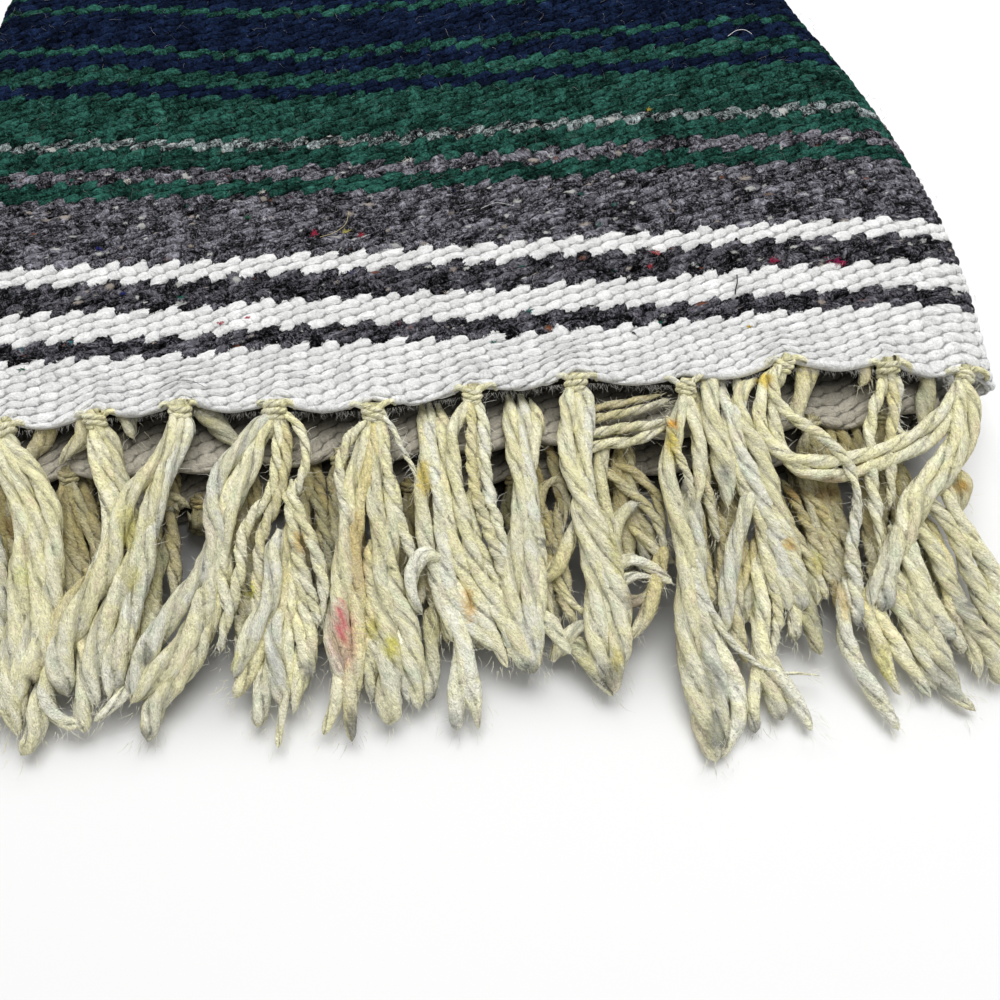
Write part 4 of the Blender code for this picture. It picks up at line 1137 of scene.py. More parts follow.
RIGHT_YARNS = table_of(
    Yarn,
    ("cream", 3.2, 4, 18, 0.1, ((-7.5, -2, -4.5), (-7.5, 6, -3), (-8, 14, -1), (-8.5, 22), (-8, 30),
     (-7.5, 37), (-6.5, 44), (-5.5, 52), (-4, 58))),
    ("pale", 3.2, 4, 20, 0, ((-5.5, -2, -4.5), (-5, 8, -3), (-5, 18, -1), (-5, 28), (-4.5, 36), (-3, 44),
     (-0.5, 51), (3, 57), (6, 61))),
    ("cream", 3.2, 4, 16, 0.1, ((-3.2, -2, -4.5), (-3, 8, -3), (-2.5, 18, -1), (-2, 28), (-1.5, 36),
     (0.5, 44), (3.5, 51), (7, 58), (9.8, 65))),
    ("pale", 3.4, 3.8, 20, -0.3, ((-6.5, 38), (-9.5, 37.8), (-12, 40.3), (-12.6, 45), (-11.2, 49),
     (-9.6, 51.5))),
    ("pale", 4, 4.2, 24, 0.1, ((-6, 40), (-4.5, 47), (-3, 54), (-2.6, 62), (-3, 70), (-3, 78.5))),
    ("pale", 4, 4.2, 24, 0.1, ((-3, 44), (-1, 52), (0.2, 60), (0.5, 68), (0.2, 78.5))),
    ("olive", 3.4, 3.6, 20, 0.6, ((-8, 50), (-8.2, 57), (-9.8, 64), (-11.3, 71))),
    ("cream", 3, 3.6, 16, -0.05, ((3.5, 3), (1, 8), (-0.3, 15), (-0.5, 22), (0.5, 29), (2.5, 36), (5, 43),
     (7.5, 50), (9, 56), (9.5, 61))),
    ("straw", 2.8, 3.2, 9, -0.15, ((4.5, 4), (3.8, 12), (4.2, 19), (5.8, 26), (7.2, 32), (8.5, 38),
     (9.5, 45), (10.3, 52))),
    ("pale", 3.2, 3.2, 12, 0, ((7, 3), (8.2, 9), (8.3, 17), (8, 25), (8.8, 32), (9.8, 39), (11, 45))),
    ("cream", 2.8, 3.4, 12, 0.15, ((5, 8), (5.8, 16), (4, 25), (4.5, 34), (6.5, 42), (9, 50), (10.5, 58),
     (11, 63))),
    ("cream", 3.4, 5.2, 22, 0, ((15, -3, -5), (14.8, 6, -3), (15.6, 13, -1), (16.6, 20), (15.3, 27),
     (13.2, 35), (12, 43), (12, 52), (13, 60), (14, 67))),
    ("pale", 3.4, 5.2, 24, 0, ((18, -3, -5), (18, 6, -3), (18, 14, -1), (18.5, 22), (17.5, 30), (16.3, 38),
     (16, 48), (16, 58), (15.5, 67))),
    ("cream", 3.2, 4, 18, 0.1, ((20.5, -2, -5), (20.8, 7, -3), (19.8, 14, -1), (18.8, 21), (18.6, 30),
     (18, 40), (17.8, 50), (17.2, 60), (16.6, 66))),
    ("cream", 3.4, 5.4, 24, -0.15, ((30.5, 0), (28.5, 6), (27.2, 12), (27.6, 18), (30, 24), (33, 30),
     (35, 38), (36, 47), (37, 56), (36.8, 63), (35.2, 69), (34.8, 73))),
    ("cream", 3.2, 5.4, 24, 0, ((31.5, 1), (30.8, 8), (31.5, 15), (32, 22), (31, 30), (31.5, 38),
     (31.5, 47), (31, 55), (32, 63), (34, 70.5))),
    ("pale", 3, 4.2, 18, 0, ((34, 0), (34.3, 5), (33, 11), (31.5, 17), (32.5, 25), (34, 33), (34.4, 42),
     (34, 50), (34, 58))),
    ("cream", 3.2, 4, 20, 0.5, ((38, 13), (37, 20), (36, 28), (36.5, 36), (37, 44), (36, 52))),
    ("cream", 2.7, 2.7, 11, 0.25, ((29.5, 15.6, -2), (33.5, 14.5, -0.6), (38, 13.5), (44, 13.5), (50, 12),
     (56, 9.5))),
    ("cream", 2.7, 2.7, 11, 0.25, ((30, 12, -2), (34.5, 11, -0.6), (40, 10), (47, 9.6), (54, 8.5), (57, 7))),
    ("straw", 2.6, 2.6, 10, 0.3, ((31, 7.5, -2), (36, 6.5, -0.6), (43, 5.8), (50, 4.6), (56, 3))),
    ("tan", 2.4, 2.4, 10, 0.5, ((32, 3.6, -2), (37, 3, -0.6), (45, 2.4), (54, 1))),
    ("straw", 2.8, 2.8, 10, 0.6, ((38.5, 19), (42, 23), (46, 27.5), (49, 33), (50, 39))),
    ("tan", 2.6, 2.6, 10, 0.7, ((41, 17), (45.5, 21), (49.5, 26), (51, 32), (50.5, 39))),
    ("cream", 3.6, 3.8, 18, 0.4, ((38, 37), (39.5, 32.5), (42.5, 29), (44.5, 28))),
    ("straw", 2.8, 2.8, 12, 0.7, ((43, 32), (45, 36), (48, 39.5), (50.5, 42))),
    ("pale", 3, 2.6, 14, 0.3, ((37.5, 42), (42, 41.5), (46, 43), (50, 46), (52, 48))),
    ("pale", 3, 3, 14, 0.4, ((38, 46.5), (42, 45.2), (47, 46.5))),
    ("tan", 3.2, 4, 18, 0.5, ((50.5, 39), (48.5, 45), (45.5, 51), (42, 56.5), (38.5, 60.5))),
    ("tan", 3.4, 3.6, 18, 0.8, ((37, 48), (41, 51), (44, 50), (46, 46))),
    ("straw", 3.8, 4.2, 22, 0.3, ((18.6, 43.5), (22, 42), (25.5, 38.5), (28.5, 34), (30.5, 30))),
    ("straw", 2.6, 2.6, 11, 0.7, ((20.5, 27), (21.5, 21.5), (24.5, 20.5), (27, 26), (26, 33))),
    ("tan", 2.6, 3, 12, 0.9, ((21, 26), (22, 34), (21.5, 42), (21, 50), (20.5, 56))),
    ("straw", 2.4, 2.4, 12, 0.7, ((23.5, 40), (24.5, 46), (27, 51), (30, 54))),
    ("pale", 3.8, 4.2, 20, 0.2, ((18.5, 53.5), (21, 58), (25, 63))),
    ("cream", 4.2, 4.6, 22, 0.3, ((22, 61), (25, 57.5), (29, 55.5))),
    ("olive", 4, 3.6, 22, 0.4, ((24.5, 59), (28, 64.5), (31.5, 69.5), (34.8, 73.3))),
    ("tan", 2.8, 3.2, 12, 0.9, ((24, 30), (25.5, 38), (26, 46), (25, 54))),
    ("cream", 3.6, 5.8, 30, -0.1, ((58.5, 4), (56.5, 9), (55, 15), (53.5, 22), (53.3, 30), (54, 38),
     (54.5, 46), (54.5, 54), (54, 62), (53.5, 70), (53.8, 78), (55.2, 85), (56.4, 90.5))),
    ("cream", 3.2, 3.4, 14, -0.1, ((60, 5), (60.5, 12), (60, 19), (59.5, 26), (58.5, 32))),
    ("straw", 2.3, 2.5, 8, -0.5, ((54, 10.5), (53.8, 15.5), (55, 20.5), (56.8, 25.5), (57.6, 31))),
    ("pale", 4, 5, 26, 0, ((57.5, 28), (57, 38), (57.5, 46), (58, 55), (58.5, 64), (58, 73), (57.5, 81),
     (56.8, 88.5))),
    ("pale", 3.6, 4.2, 22, 0.1, ((59.5, 56), (61.5, 65), (63, 73), (62.8, 79), (60, 85), (57.5, 89.5))),
    ("pale", 2.8, 0.9, 12, -0.4, ((55.5, 44), (57.5, 50), (60, 57), (62.5, 63), (66, 67), (70, 70),
     (75, 71.5), (80, 72), (84.5, 72.8))),
    ("tan", 2.8, 3, 11, 0.6, ((61.5, 30), (60.5, 38), (60.2, 46), (60.8, 54))),
    ("cream", 4, 5.2, 26, 0, ((66, 0, -1), (65.8, 7), (66.5, 14), (67, 21), (66.2, 27), (65.6, 31.5))),
    ("pale", 3, 3.4, 16, 0.15, ((68.8, 0, -2), (69, 8), (68.8, 15), (68.2, 22), (67.5, 28))),
    ("straw", 2.5, 3, 11, 0.3, ((63, 1, -2), (62.5, 9), (61.6, 16), (62.5, 24), (63.5, 31), (64, 39))),
    ("tan", 2.8, 3.4, 12, 0.7, ((64.5, 30), (65, 38), (64.5, 46), (63.5, 54))),
    ("cream", 3.4, 5, 20, 0, ((78.5, -1, -2), (75, 2), (72.5, 6), (72.5, 12), (75, 18), (77.5, 25),
     (79.5, 33), (80.5, 41), (81, 49), (81, 57.5))),
    ("pale", 3.2, 5, 20, 0, ((73, 3, -1), (70.8, 10), (71.5, 17), (74, 24), (76, 32), (77.5, 40),
     (78.5, 48), (79.3, 57))),
    ("cream", 3, 4, 16, 0.15, ((70.5, 12), (70, 19), (71.5, 26), (73.5, 33), (75, 41), (76.5, 49),
     (77.5, 56))),
    ("pale", 3.2, 4.4, 20, -0.1, ((73, 29), (70, 36), (66.5, 43), (64, 49), (62.7, 55), (62.7, 61))),
    ("tan", 2.6, 2.8, 12, 0.5, ((73.5, 39), (71, 45), (68.5, 51), (67, 57.5))),
    ("cream", 3.4, 3.2, 16, 0.2, ((74, 44), (72.5, 53), (71, 62), (69.5, 70), (68, 77), (67.5, 84.5))),
    ("cream", 2.8, 2.8, 8, 0.1, ((75.5, 50), (75.5, 57), (74.5, 63), (73.5, 69))),
    ("cream", 3.6, 4.6, 20, 0.3, ((71.5, 58), (71.5, 67), (73, 75), (73.5, 82))),
    ("pale", 3.4, 3.6, 18, 0.2, ((72, 64), (75, 72), (77.5, 79), (79.5, 85))),
    ("tan", 3, 3.8, 14, 0.7, ((68, 34), (68.5, 42), (67.5, 50), (66.5, 60), (67, 68))),
    ("cream", 2.9, 2.9, 8.5, -0.35, ((84.5, -3), (82, 1.5), (81.5, 7), (84, 11.5), (88.5, 15), (93, 18.5),
     (97, 23), (99, 28), (99.3, 34))),
    ("pale", 2.9, 4.2, 12, -0.2, ((99.3, 32), (98.4, 38), (96.7, 43), (95.6, 49), (94.8, 56), (93.8, 62))),
    ("pale", 3.4, 3.8, 16, 0, ((94, 52), (92.8, 59), (92.3, 66), (94, 73), (97, 79.5), (101, 86.5))),
    ("cream", 3, 3, 16, -0.1, ((83.5, -3), (80.3, 0.5), (78.5, 5), (77.6, 10), (79, 16), (83, 20.5),
     (89, 22.3), (96, 22.3), (103, 21.3), (110, 19.8), (117, 17), (122.5, 13), (126.5, 8), (129, 4))),
    ("cream", 3, 3, 16, 0, ((81, 4), (80.5, 11), (82.5, 18), (86, 23.5), (91, 25.5), (97, 25.8), (104, 24),
     (111, 22.3), (118, 20), (124, 16.5), (128, 11), (130, 6))),
    ("tan", 2.8, 3, 9, 0.8, ((84.5, 27), (86.5, 35), (89.5, 43), (92, 51))),
    ("straw", 2.8, 3, 9, 0.8, ((82, 29), (84, 37), (86.5, 45), (89, 54))),
    ("tan", 2.8, 3.2, 11, 0.8, ((89, 27), (92, 34), (93.5, 42), (94, 50))),
    ("olive", 4.4, 4.8, 22, 0.5, ((83, 48), (84, 56), (85.5, 62), (86.5, 67.5))),
    ("cream", 3.4, 4, 18, 0.4, ((81.5, 40), (82.5, 50), (81, 58), (79.5, 64))),
    ("cream", 3, 3.6, 12, 0.05, ((110.5, 2), (107.5, 7), (105.3, 13), (104.8, 20), (104, 28), (103.3, 36),
     (103, 44))),
    ("straw", 3, 3.2, 10, 0.05, ((113, 3), (112.5, 9), (110.5, 15), (108.5, 20.5), (107.8, 27),
     (107.5, 34))),
    ("pale", 2.4, 2.2, 9, 0.1, ((114.5, 3), (113.5, 9), (112.3, 15), (115, 18))),
    ("cream", 3.4, 5, 20, -0.15, ((130, 6), (130.4, 12), (129.3, 18), (126.5, 24), (121.5, 29), (116, 33),
     (111.5, 38), (108, 43), (104, 49), (100.5, 54), (99.6, 58))),
    ("cream", 3.3, 4.2, 18, -0.05, ((128.5, 7), (127.5, 13), (126, 19), (121.5, 24.5), (116, 29), (111, 34),
     (109, 40), (110.5, 46), (113, 53), (115.5, 61), (118.5, 67))),
    ("pale", 3.6, 5.2, 22, 0, ((112, 36), (107, 42), (104.5, 48), (104, 54), (102.5, 59))),
    ("straw", 3.4, 3.6, 18, 0.1, ((97, 54), (98.5, 62), (101, 70), (103.5, 78.5))),
    ("cream", 3.4, 3.8, 18, 0.2, ((101, 57), (104, 65), (107, 73), (109.5, 79.5))),
    ("cream", 3.8, 4.8, 22, 0, ((109, 42), (111, 51), (112.5, 59), (113.2, 65))),
    ("cream", 3.8, 4.6, 22, 0.2, ((111, 58), (114, 67), (117, 75), (118, 80))),
    ("cream", 3.4, 4.6, 18, 0.05, ((113, 38), (117.5, 46), (120, 54), (123, 62), (126, 70), (127, 78))),
    ("cream", 3.2, 4.6, 16, 0, ((117, 33), (121.5, 41), (124.5, 49), (127.5, 57), (129.5, 66), (130, 76))),
    ("cream", 3, 4, 14, 0.05, ((122, 29), (124.5, 37), (127.5, 45), (130.5, 53), (133, 63))),
    ("straw", 4.8, 5.4, 20, 0.4, ((127, 27), (125.8, 31), (124.8, 35), (124.6, 40))),
    ("cream", 3.4, 4.2, 16, 0.3, ((125, 38), (128.5, 46), (131, 54), (132.5, 64), (132, 73))),
    ("cream", 3.6, 4.4, 18, 0.4, ((106, 42), (108, 53), (110, 63), (113, 72), (117, 79), (121.5, 83.5))),
    ("cream", 3.6, 4.4, 18, 0.5, ((104, 50), (107, 60), (110, 70), (113, 78))),
    ("cream", 3.6, 4.4, 18, 0.5, ((120, 46), (121, 56), (122, 66), (123, 76))),
    ("straw", 3.2, 4.2, 16, 0.3, ((118, 40), (119, 50), (119, 60), (121, 70))),
    ("straw", 4.6, 4.2, 18, 0.4, ((95, -9), (92, -3), (89.5, 2), (87, 7), (86, 12))),
    ("straw", 4.2, 4, 14, 0.35, ((109, -9), (107.5, -4), (106, 0), (104, 3))),
    ("olive", 4.2, 4, 14, 0.5, ((122, -8), (122, -2), (122, 4), (121, 10), (120, 18))),
    ("tan", 3.2, 4, 14, 1, ((100, 5), (101, 12), (102, 21), (102.5, 31), (103.5, 42), (105, 54))),
    ("straw", 3, 3.8, 12, 1, ((105.5, 5), (105, 12), (104, 22), (105, 31), (106.5, 42), (108, 54))),
    ("tan", 3, 4, 12, 1, ((97.5, 5), (97, 12), (96, 23), (96.5, 36), (98.5, 50))),
    ("tan", 3, 3.8, 11, 1, ((23.5, 5), (24, 12), (24.5, 18), (26, 25), (25, 33), (24, 44))),
)

# Rows of tassels under the top one: where their yarns start and end, forward
LowerRow = namedtuple("LowerRow", "node level start reach vary yarns tones")
LOWER_ROWS = (
    LowerRow("fringe_second", 1.0, 11.5, 60.0, 10.0, 6, ("cream", "straw", "tan")),
    LowerRow("fringe_third", 2.0, 17.5, 58.0, 8.0, 5, ("tan", "olive", "straw")),
    LowerRow("fringe_bottom", 3.0, 17.5, 54.0, 8.0, 5, ("olive", "tan")),
)
# The floor shows here: between these places, beyond this distance forward
OpenSpace = namedtuple("OpenSpace", "left right forward")
OPEN_SPACES = (
    OpenSpace(-71, -59, 18), OpenSpace(-34, -28, 38), OpenSpace(-13, -8, 48),
    OpenSpace(39, 53, 42), OpenSpace(74, 84, 52),
)

# Marks on the fringe: place, half length and half width, colour and strength
Mark = namedtuple("Mark", "x forward long wide colour share")
MARKS = table_of(
    Mark,
    (-29.6, 52.5, 5.5, 1.1, (214, 44, 84), 0.95), (-29.8, 56, 8, 3.2, (226, 160, 150), 0.45),
    (-17, 40.5, 1.2, 0.7, (40, 44, 44), 0.9), (-18, 59, 2.6, 1.6, (222, 214, 70), 0.7),
    (-22.5, 54, 3, 1.6, (214, 204, 90), 0.6), (-8, 19.5, 4.5, 1.6, (216, 190, 40), 0.7),
    (0.8, 50, 4.5, 1.2, (222, 170, 40), 0.6), (-25.5, 36, 9, 2.4, (206, 178, 130), 0.5),
    (-52, 42.5, 1.8, 1.2, (228, 224, 60), 0.8), (-55.5, 59, 2.2, 1.4, (222, 214, 110), 0.5),
    (-39, 33, 2.4, 1.2, (214, 170, 40), 0.6), (-79.5, 27, 4.5, 2, (226, 218, 110), 0.5),
    (-106, 36, 2.4, 2, (226, 224, 130), 0.5), (-79, 39, 3, 1.8, (216, 208, 120), 0.5),
    (-103.5, 60, 0.9, 0.9, (50, 44, 38), 0.9), (-76, 56.5, 2.6, 1.6, (120, 124, 130), 0.6),
    (-110, 22, 2.6, 1.6, (196, 150, 50), 0.7), (54.5, 11.5, 1.2, 1.3, (232, 168, 30), 0.9),
    (53.6, 16.5, 3, 1.2, (226, 206, 90), 0.7), (66.2, 24, 2.2, 1.2, (90, 92, 92), 0.6),
    (79.6, 1, 2.4, 1.6, (226, 196, 50), 0.8), (80.5, 42, 1.6, 1.2, (226, 178, 60), 0.7),
    (87.6, 58.6, 2.1, 2, (38, 36, 42), 0.97), (92, 55, 5, 1.4, (204, 172, 90), 0.6),
    (88.5, 45, 3, 1.5, (220, 206, 90), 0.6), (100, 71, 4, 1.6, (222, 214, 120), 0.6),
    (126, 30.5, 1.8, 1.4, (206, 160, 60), 0.8), (93, 28.5, 1.8, 3, (150, 112, 50), 0.6),
    (85, 27.5, 2, 3, (176, 140, 80), 0.6), (21, 37, 1, 2, (90, 90, 92), 0.8),
    (37.5, 40, 6, 1.2, (216, 204, 90), 0.5), (35.2, 66, 2.6, 1.4, (214, 196, 60), 0.6),
    (41, 52, 2.6, 2.6, (120, 100, 100), 0.6), (123, 59.3, 0.8, 0.8, (50, 50, 54), 0.8),
    (124.5, 66.2, 0.8, 0.8, (50, 50, 54), 0.8), (119, 76.4, 0.8, 0.8, (50, 50, 54), 0.8),
    (57, 84, 4, 2.4, (96, 100, 100), 0.6), (57.5, 72, 4, 2.4, (140, 140, 136), 0.5),
    (33.5, 69, 2.6, 2.6, (112, 112, 110), 0.6), (14.6, 66.5, 2, 2.6, (120, 122, 120), 0.6),
    (-28.4, 75.5, 3.5, 1.6, (120, 120, 120), 0.8), (-38, 62.5, 2.4, 1.6, (90, 90, 94), 0.6),
    (-46.5, 62, 6, 1.8, (190, 194, 196), 0.5), (114, 76, 4.5, 4, (140, 142, 146), 0.4),
    (122, 60, 9, 3, (168, 170, 172), 0.35),
)


def yarn_tone(name):
    """The colour of a yarn's tone."""
    fringe = bpy.context.scene.serape_fringe
    cream, pale, straw = (np.array(c) for c in (fringe.cream, fringe.pale, fringe.straw))
    # The last tone is cream with painted shade, for yarns that lie in shadow
    return {"cream": cream, "pale": pale, "straw": straw, "tan": straw * (0.92, 0.89, 0.82),
            "olive": cream * (0.66, 0.66, 0.60)}[name]


def level_height(level, forward):
    """Height of a yarn of this row, or between two rows, this far forward."""
    rows = [np.interp(forward, *zip(*profile)) for profile in LEVELS]
    low = int(np.clip(math.floor(level), 0, len(rows) - 2))
    return mix(rows[low], rows[low + 1], level - low)


def smooth_way(points, step):
    """Points this far apart on a smooth curve through a list of points."""
    points = np.asarray(points, float)
    along = path_lengths(points)
    slopes = np.gradient(points, along, axis=0)
    at = np.linspace(0.0, along[-1], max(int(along[-1] / step), 4) + 1)
    i = np.clip(np.searchsorted(along, at, side="right") - 1, 0, len(points) - 2)
    span = (along[i + 1] - along[i])[:, None]
    return cubic((at - along[i])[:, None] / span, span, points[i], slopes[i], points[i + 1],
                 slopes[i + 1])


def cross_axes(path):
    """Two directions across a path at each of its points, without twist."""
    ahead = unit(np.gradient(path, axis=0))
    side = unit(np.cross(ahead[0], (0.03, 0.05, 1.0)))
    sides = []
    for direction in ahead:
        side = unit(side - direction * np.dot(side, direction))
        sides.append(side)
    sides = np.array(sides)
    return sides, np.cross(sides, ahead)


def tube(path, halves, sides, lay, groove, seed, flat=1.0, plies=2, dark=0.5):
    """A plied yarn round a path: its points ring by ring, faces, grain, and painted shade in grooves."""
    across, up = cross_axes(path)
    along = path_lengths(path)[:, None]
    angle = np.linspace(0.0, math.tau, sides, endpoint=False)[None, :]
    turned = angle + math.tau * along / lay
    rise = np.abs(np.sin(plies * angle / 2.0)) + 0.0 * along
    lumps = 0.09 * soft_noise(along / 3.3 + seed, 2.0 * np.cos(angle) + seed, 8.0)
    lumps = lumps + 0.05 * soft_noise(along / 1.3 + seed, 3.0 * np.sin(angle), 9.0)
    radius = halves[:, None] * (1.0 - groove * (1.0 - rise) + lumps)
    offset = (across[:, None, :] * (radius * np.cos(turned))[..., None]
              + up[:, None, :] * (radius * np.sin(turned) * flat)[..., None])
    points = path[:, None, :] + offset
    fold = plies * angle / 2.0
    grain = np.stack((along + 0.0 * angle + 97.0 * seed, radius * np.cos(fold),
                      radius * np.sin(fold)), axis=-1)
    # Painted shade: the grooves between the plies are darkened
    shade = mix(dark, 1.0, smooth(1.9 * rise)).reshape(-1, 1)
    return (points.reshape(-1, 3), grid_faces(len(path), sides, closed=True),
            grain.reshape(-1, 3), shade)


PLUMP_LAY = 13  # a yarn with a longer lay than this is plumper


def yarn_halves(yarn, along, length, seed):
    """Half the thickness of a yarn along its way, with a drawn-in root and a frayed tip."""
    wide = 1.1 if yarn.lay < PLUMP_LAY else 1.25
    half = wide * mix(yarn.start, yarn.end, smooth(along / length)) / 2.0
    half = half * mix(0.45, 1.0, smooth(along / 5.0))
    left = length - along
    blunt = np.sqrt(np.clip(left / (0.7 * half), 0.0, 1.0))
    thinned = mix(mix(0.34, 0.86, wobble(seed, 15.0)), 1.0, smooth(left / 11.0))
    return np.maximum(half * blunt * thinned, 0.12)


def mark_tones(points, tones):
    """Stain the points that lie under a mark."""
    x, forward = points[:, 0], -points[:, 1]
    for mark in MARKS:
        far = ((x - mark.x) / mark.wide) ** 2 + ((forward - mark.forward) / mark.long) ** 2
        patchy = 1.0 + 0.35 * soft_noise(x * 1.3, forward * 1.1, mark.x)
        share = mark.share * smooth(1.6 - far * patchy) * (points[:, 2] > 4.0 - 0.03 * forward)
        tones += (np.array(srgb(*mark.colour)) - tones) * share[:, None]
    return tones


# A yarn of the top row that starts this near beside a knot, and between these distances in
# front of it, comes out of the knot
TIE_BESIDE, TIE_AHEAD, TIE_LEVEL = 4.5, (1.5, 8.0), 0.35
EDGE_REACH = 8.0  # a yarn that starts nearer than this comes from the edge


def yarn_way(yarn):
    """The points that a yarn follows, from its knot and the row whose height it keeps."""
    places = list(yarn.way)
    x, forward = places[0][:2]
    near, far = TIE_AHEAD
    for knot in TOP_KNOTS:
        if (abs(x - knot.x) < TIE_BESIDE and near < forward - knot.forward < far
                and yarn.level < TIE_LEVEL):
            places.insert(0, (mix(x, knot.x, 0.75), knot.forward + 0.8))
            break
    else:
        sunk = places[0][2] if len(places[0]) > 2 else 0.0
        if -1.0 < forward <= EDGE_REACH and yarn.level < 0.9:
            # from under the edge of the cloth
            places.insert(0, (mix(x, places[1][0], -0.3), forward - 6.0, sunk - 1.0))
        elif forward <= EDGE_REACH and yarn.level >= 1.0:
            # from a lower row
            places[0] = (x, forward, -4.6)
            places[1] = (places[1][0], places[1][1], -2.8)
        elif forward > EDGE_REACH and yarn.level < 1.0:
            # from between the yarns above it
            places[0] = (x, forward, sunk - 1.2)
            places.insert(0, (mix(x, places[1][0], -0.5), mix(forward, places[1][1], -0.5),
                              sunk - 3.6))
    points = []
    for x, forward, *drops in places:
        drop = drops[0] if drops else 0.0
        height = level_height(yarn.level, forward) + drop
        points.append((x, -forward, max(height, yarn.end * 0.42 + 0.2)))
    return points


SUNK_SHADE = (0.46, 0.48, 0.52)  # painted shade: how much darker a yarn is that runs under others


def grow_yarn(yarn, seed, step, sides):
    """One yarn of the fringe: points, faces, grain and tones."""
    step = min(step, yarn.lay / 9.0)
    path = smooth_way(yarn_way(yarn), step)
    along = path_lengths(path)
    length = along[-1]
    halves = yarn_halves(yarn, along, length, seed)
    sway = 0.25 * yarn.start * smooth(along / 8.0)
    path[:, 0] += sway * np.sin(along / 6.5 + 40.0 * wobble(seed))
    path[:, 2] = np.maximum(path[:, 2], halves * 0.9 + 0.1)
    plies = 2 if yarn.end < 4.3 else 3
    groove, dark, drawn = (0.36, 0.70, 1.15) if yarn.lay < PLUMP_LAY else (0.27, 0.73, 1.45)
    lay = yarn.lay * drawn * mix(0.8, 1.3, wobble(seed, 16.0))
    points, faces, grain, grooves = tube(path, halves, sides, lay, groove, seed, 0.88, plies, dark)
    fringe = bpy.context.scene.serape_fringe
    tone = yarn_tone(yarn.tone) * mix(0.97, 1.12, wobble(seed, 1.0))
    tones = np.tile(tone, (len(points), 1))
    ring_along = np.repeat(along, sides)
    patch = smooth(0.5 + 0.8 * soft_noise(points[:, 0] / 7.0, points[:, 1] / 8.0,
                                          11.0 + wobble(seed)))
    wear_and_shadow = smooth((ring_along / length - 0.35) / 0.65) * patch
    tones += (np.array(fringe.pale) - tones) * (0.35 * wear_and_shadow + 0.45 * smooth(
        ring_along / length - 0.2))[:, None]
    soil_and_shade = smooth((ring_along - length + 7.0) / 7.0) * smooth(
        0.35 + soft_noise(points[:, 0] / 2.0, points[:, 1] / 2.6, 12.0)) * wobble(seed, 2.0)
    tones += (np.array(fringe.dirt) - tones) * (0.75 * soil_and_shade)[:, None]
    tones = mark_tones(points, tones)
    # Painted shade: a yarn of a lower row is darker near the edge, where the rows above shade it
    deep = np.clip(yarn.level, 0.0, 1.0) * (1.0 - smooth((-points[:, 1] - 14.0) / 52.0))
    return points, faces, grain, tones * grooves * (1.0 - deep[:, None] * SUNK_SHADE)


def join_parts(parts):
    """Several lots of points, faces, grain and tones as one."""
    points, faces, grain, tones = [], [], [], []
    start = 0
    for part in parts:
        points.append(part[0])
        faces.append(part[1] + start)
        grain.append(part[2])
        tones.append(part[3])
        start += len(part[0])
    return (np.concatenate(points), np.concatenate(faces), np.concatenate(grain),
            np.concatenate(tones))


def fringe_piece(name, parts, *nodes):
    """A piece of fringe from its yarns."""
    points, faces, grain, tones = join_parts(parts)
    piece = new_piece(name, points, faces, fringe_wool(), tones=tones, grain=grain)
    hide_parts(*nodes)
    return piece


WRAP_TURNS = 2.8  # a yarn goes this often round its tassel


def wrap_yarn(centre, lean, size, seed, sides, tone="cream"):
    """A tassel's knot: its end wound round it, and the head of the tassel inside."""
    drop = unit(np.array((lean, -0.82, -0.57)))
    wide = unit(np.cross(drop, (0.0, 0.0, 1.0)))
    high = np.cross(wide, drop)
    share = np.linspace(0.0, 1.0, int(26 * WRAP_TURNS))
    angle = math.tau * WRAP_TURNS * share + 1.3 + seed
    barrel = size * (1.0 - 0.22 * (2.0 * share - 1.0) ** 2)
    wound = (np.array(centre) + wide * (2.15 * barrel * np.cos(angle))[:, None]
             + high * (1.7 * barrel * np.sin(angle))[:, None]
             + drop * (size * (3.8 * share - 2.0 + 0.6 * np.sin(angle + 3.0 * seed)))[:, None])
    down = np.linspace(-3.0, 7.0, 14)
    head = np.array(centre) + drop * down[:, None]
    swell = np.interp(down, (-3.0, 0.0, 4.0, 7.0), (1.5, 1.8, 2.3, 1.4))
    parts = []
    for path, halves, lay, groove, plies in ((wound, 0.86 * size + 0.0 * share, 5.2, 0.2, 2),
                                             (head, swell * size, 26.0, 0.24, 3)):
        points, faces, grain, grooves = tube(path, halves, sides, lay, groove, seed + 0.37, 1.0,
                                             plies, 0.8)
        tones = np.tile(yarn_tone(tone) * mix(0.97, 1.06, wobble(seed, 3.0)), (len(points), 1))
        parts.append((points, faces, grain, mark_tones(points, tones) * grooves))
    return parts


def edge_ties(knot, seed, step, sides):
    """The warp ends that lie along the cloth's edge and gather into a knot from both sides."""
    parts = []
    for n, (way, reach, behind) in enumerate(((-1, 4.4, 0.9), (1, 4.6, 0.8))):
        reach = reach * mix(0.75, 1.2, wobble(seed, 1.0 + n))
        points = []
        for share, sunk in ((0.0, 0.3), (0.35, 0.3), (0.7, 0.0), (0.93, -0.8), (1.0, -2.2)):
            x = knot.x + way * (0.8 + reach * share)
            edge = mix(-knot.forward, -top_edge_forward(x), share)
            y = edge + mix(-0.3, behind, math.sqrt(share))
            inner = np.clip(y + top_edge_forward(x), 0.0, WALL / 2.0) - WALL / 2.0
            depth = WALL / 2.0 - math.sqrt((WALL / 2.0) ** 2 - inner ** 2)
            points.append((x, y, top_height(x, y) - depth + sunk))
        path = smooth_way(points, 0.6 * step)
        halves = mix(0.95, 0.7, np.linspace(0.0, 1.0, len(path)))
        points, faces, grain, grooves = tube(path, halves, sides, 9.0, 0.1, seed + n, 1.0, 2, 0.9)
        parts.append((points, faces, grain, yarn_tone("cream" if n % 2 else "pale") * grooves))
    return parts


def top_yarns(step, sides):
    """The yarns of the top row, left and right."""
    return [[grow_yarn(yarn, first + i, step, sides) for i, yarn in enumerate(table)]
            for table, first in ((LEFT_YARNS, 1.0), (RIGHT_YARNS, 101.0))]


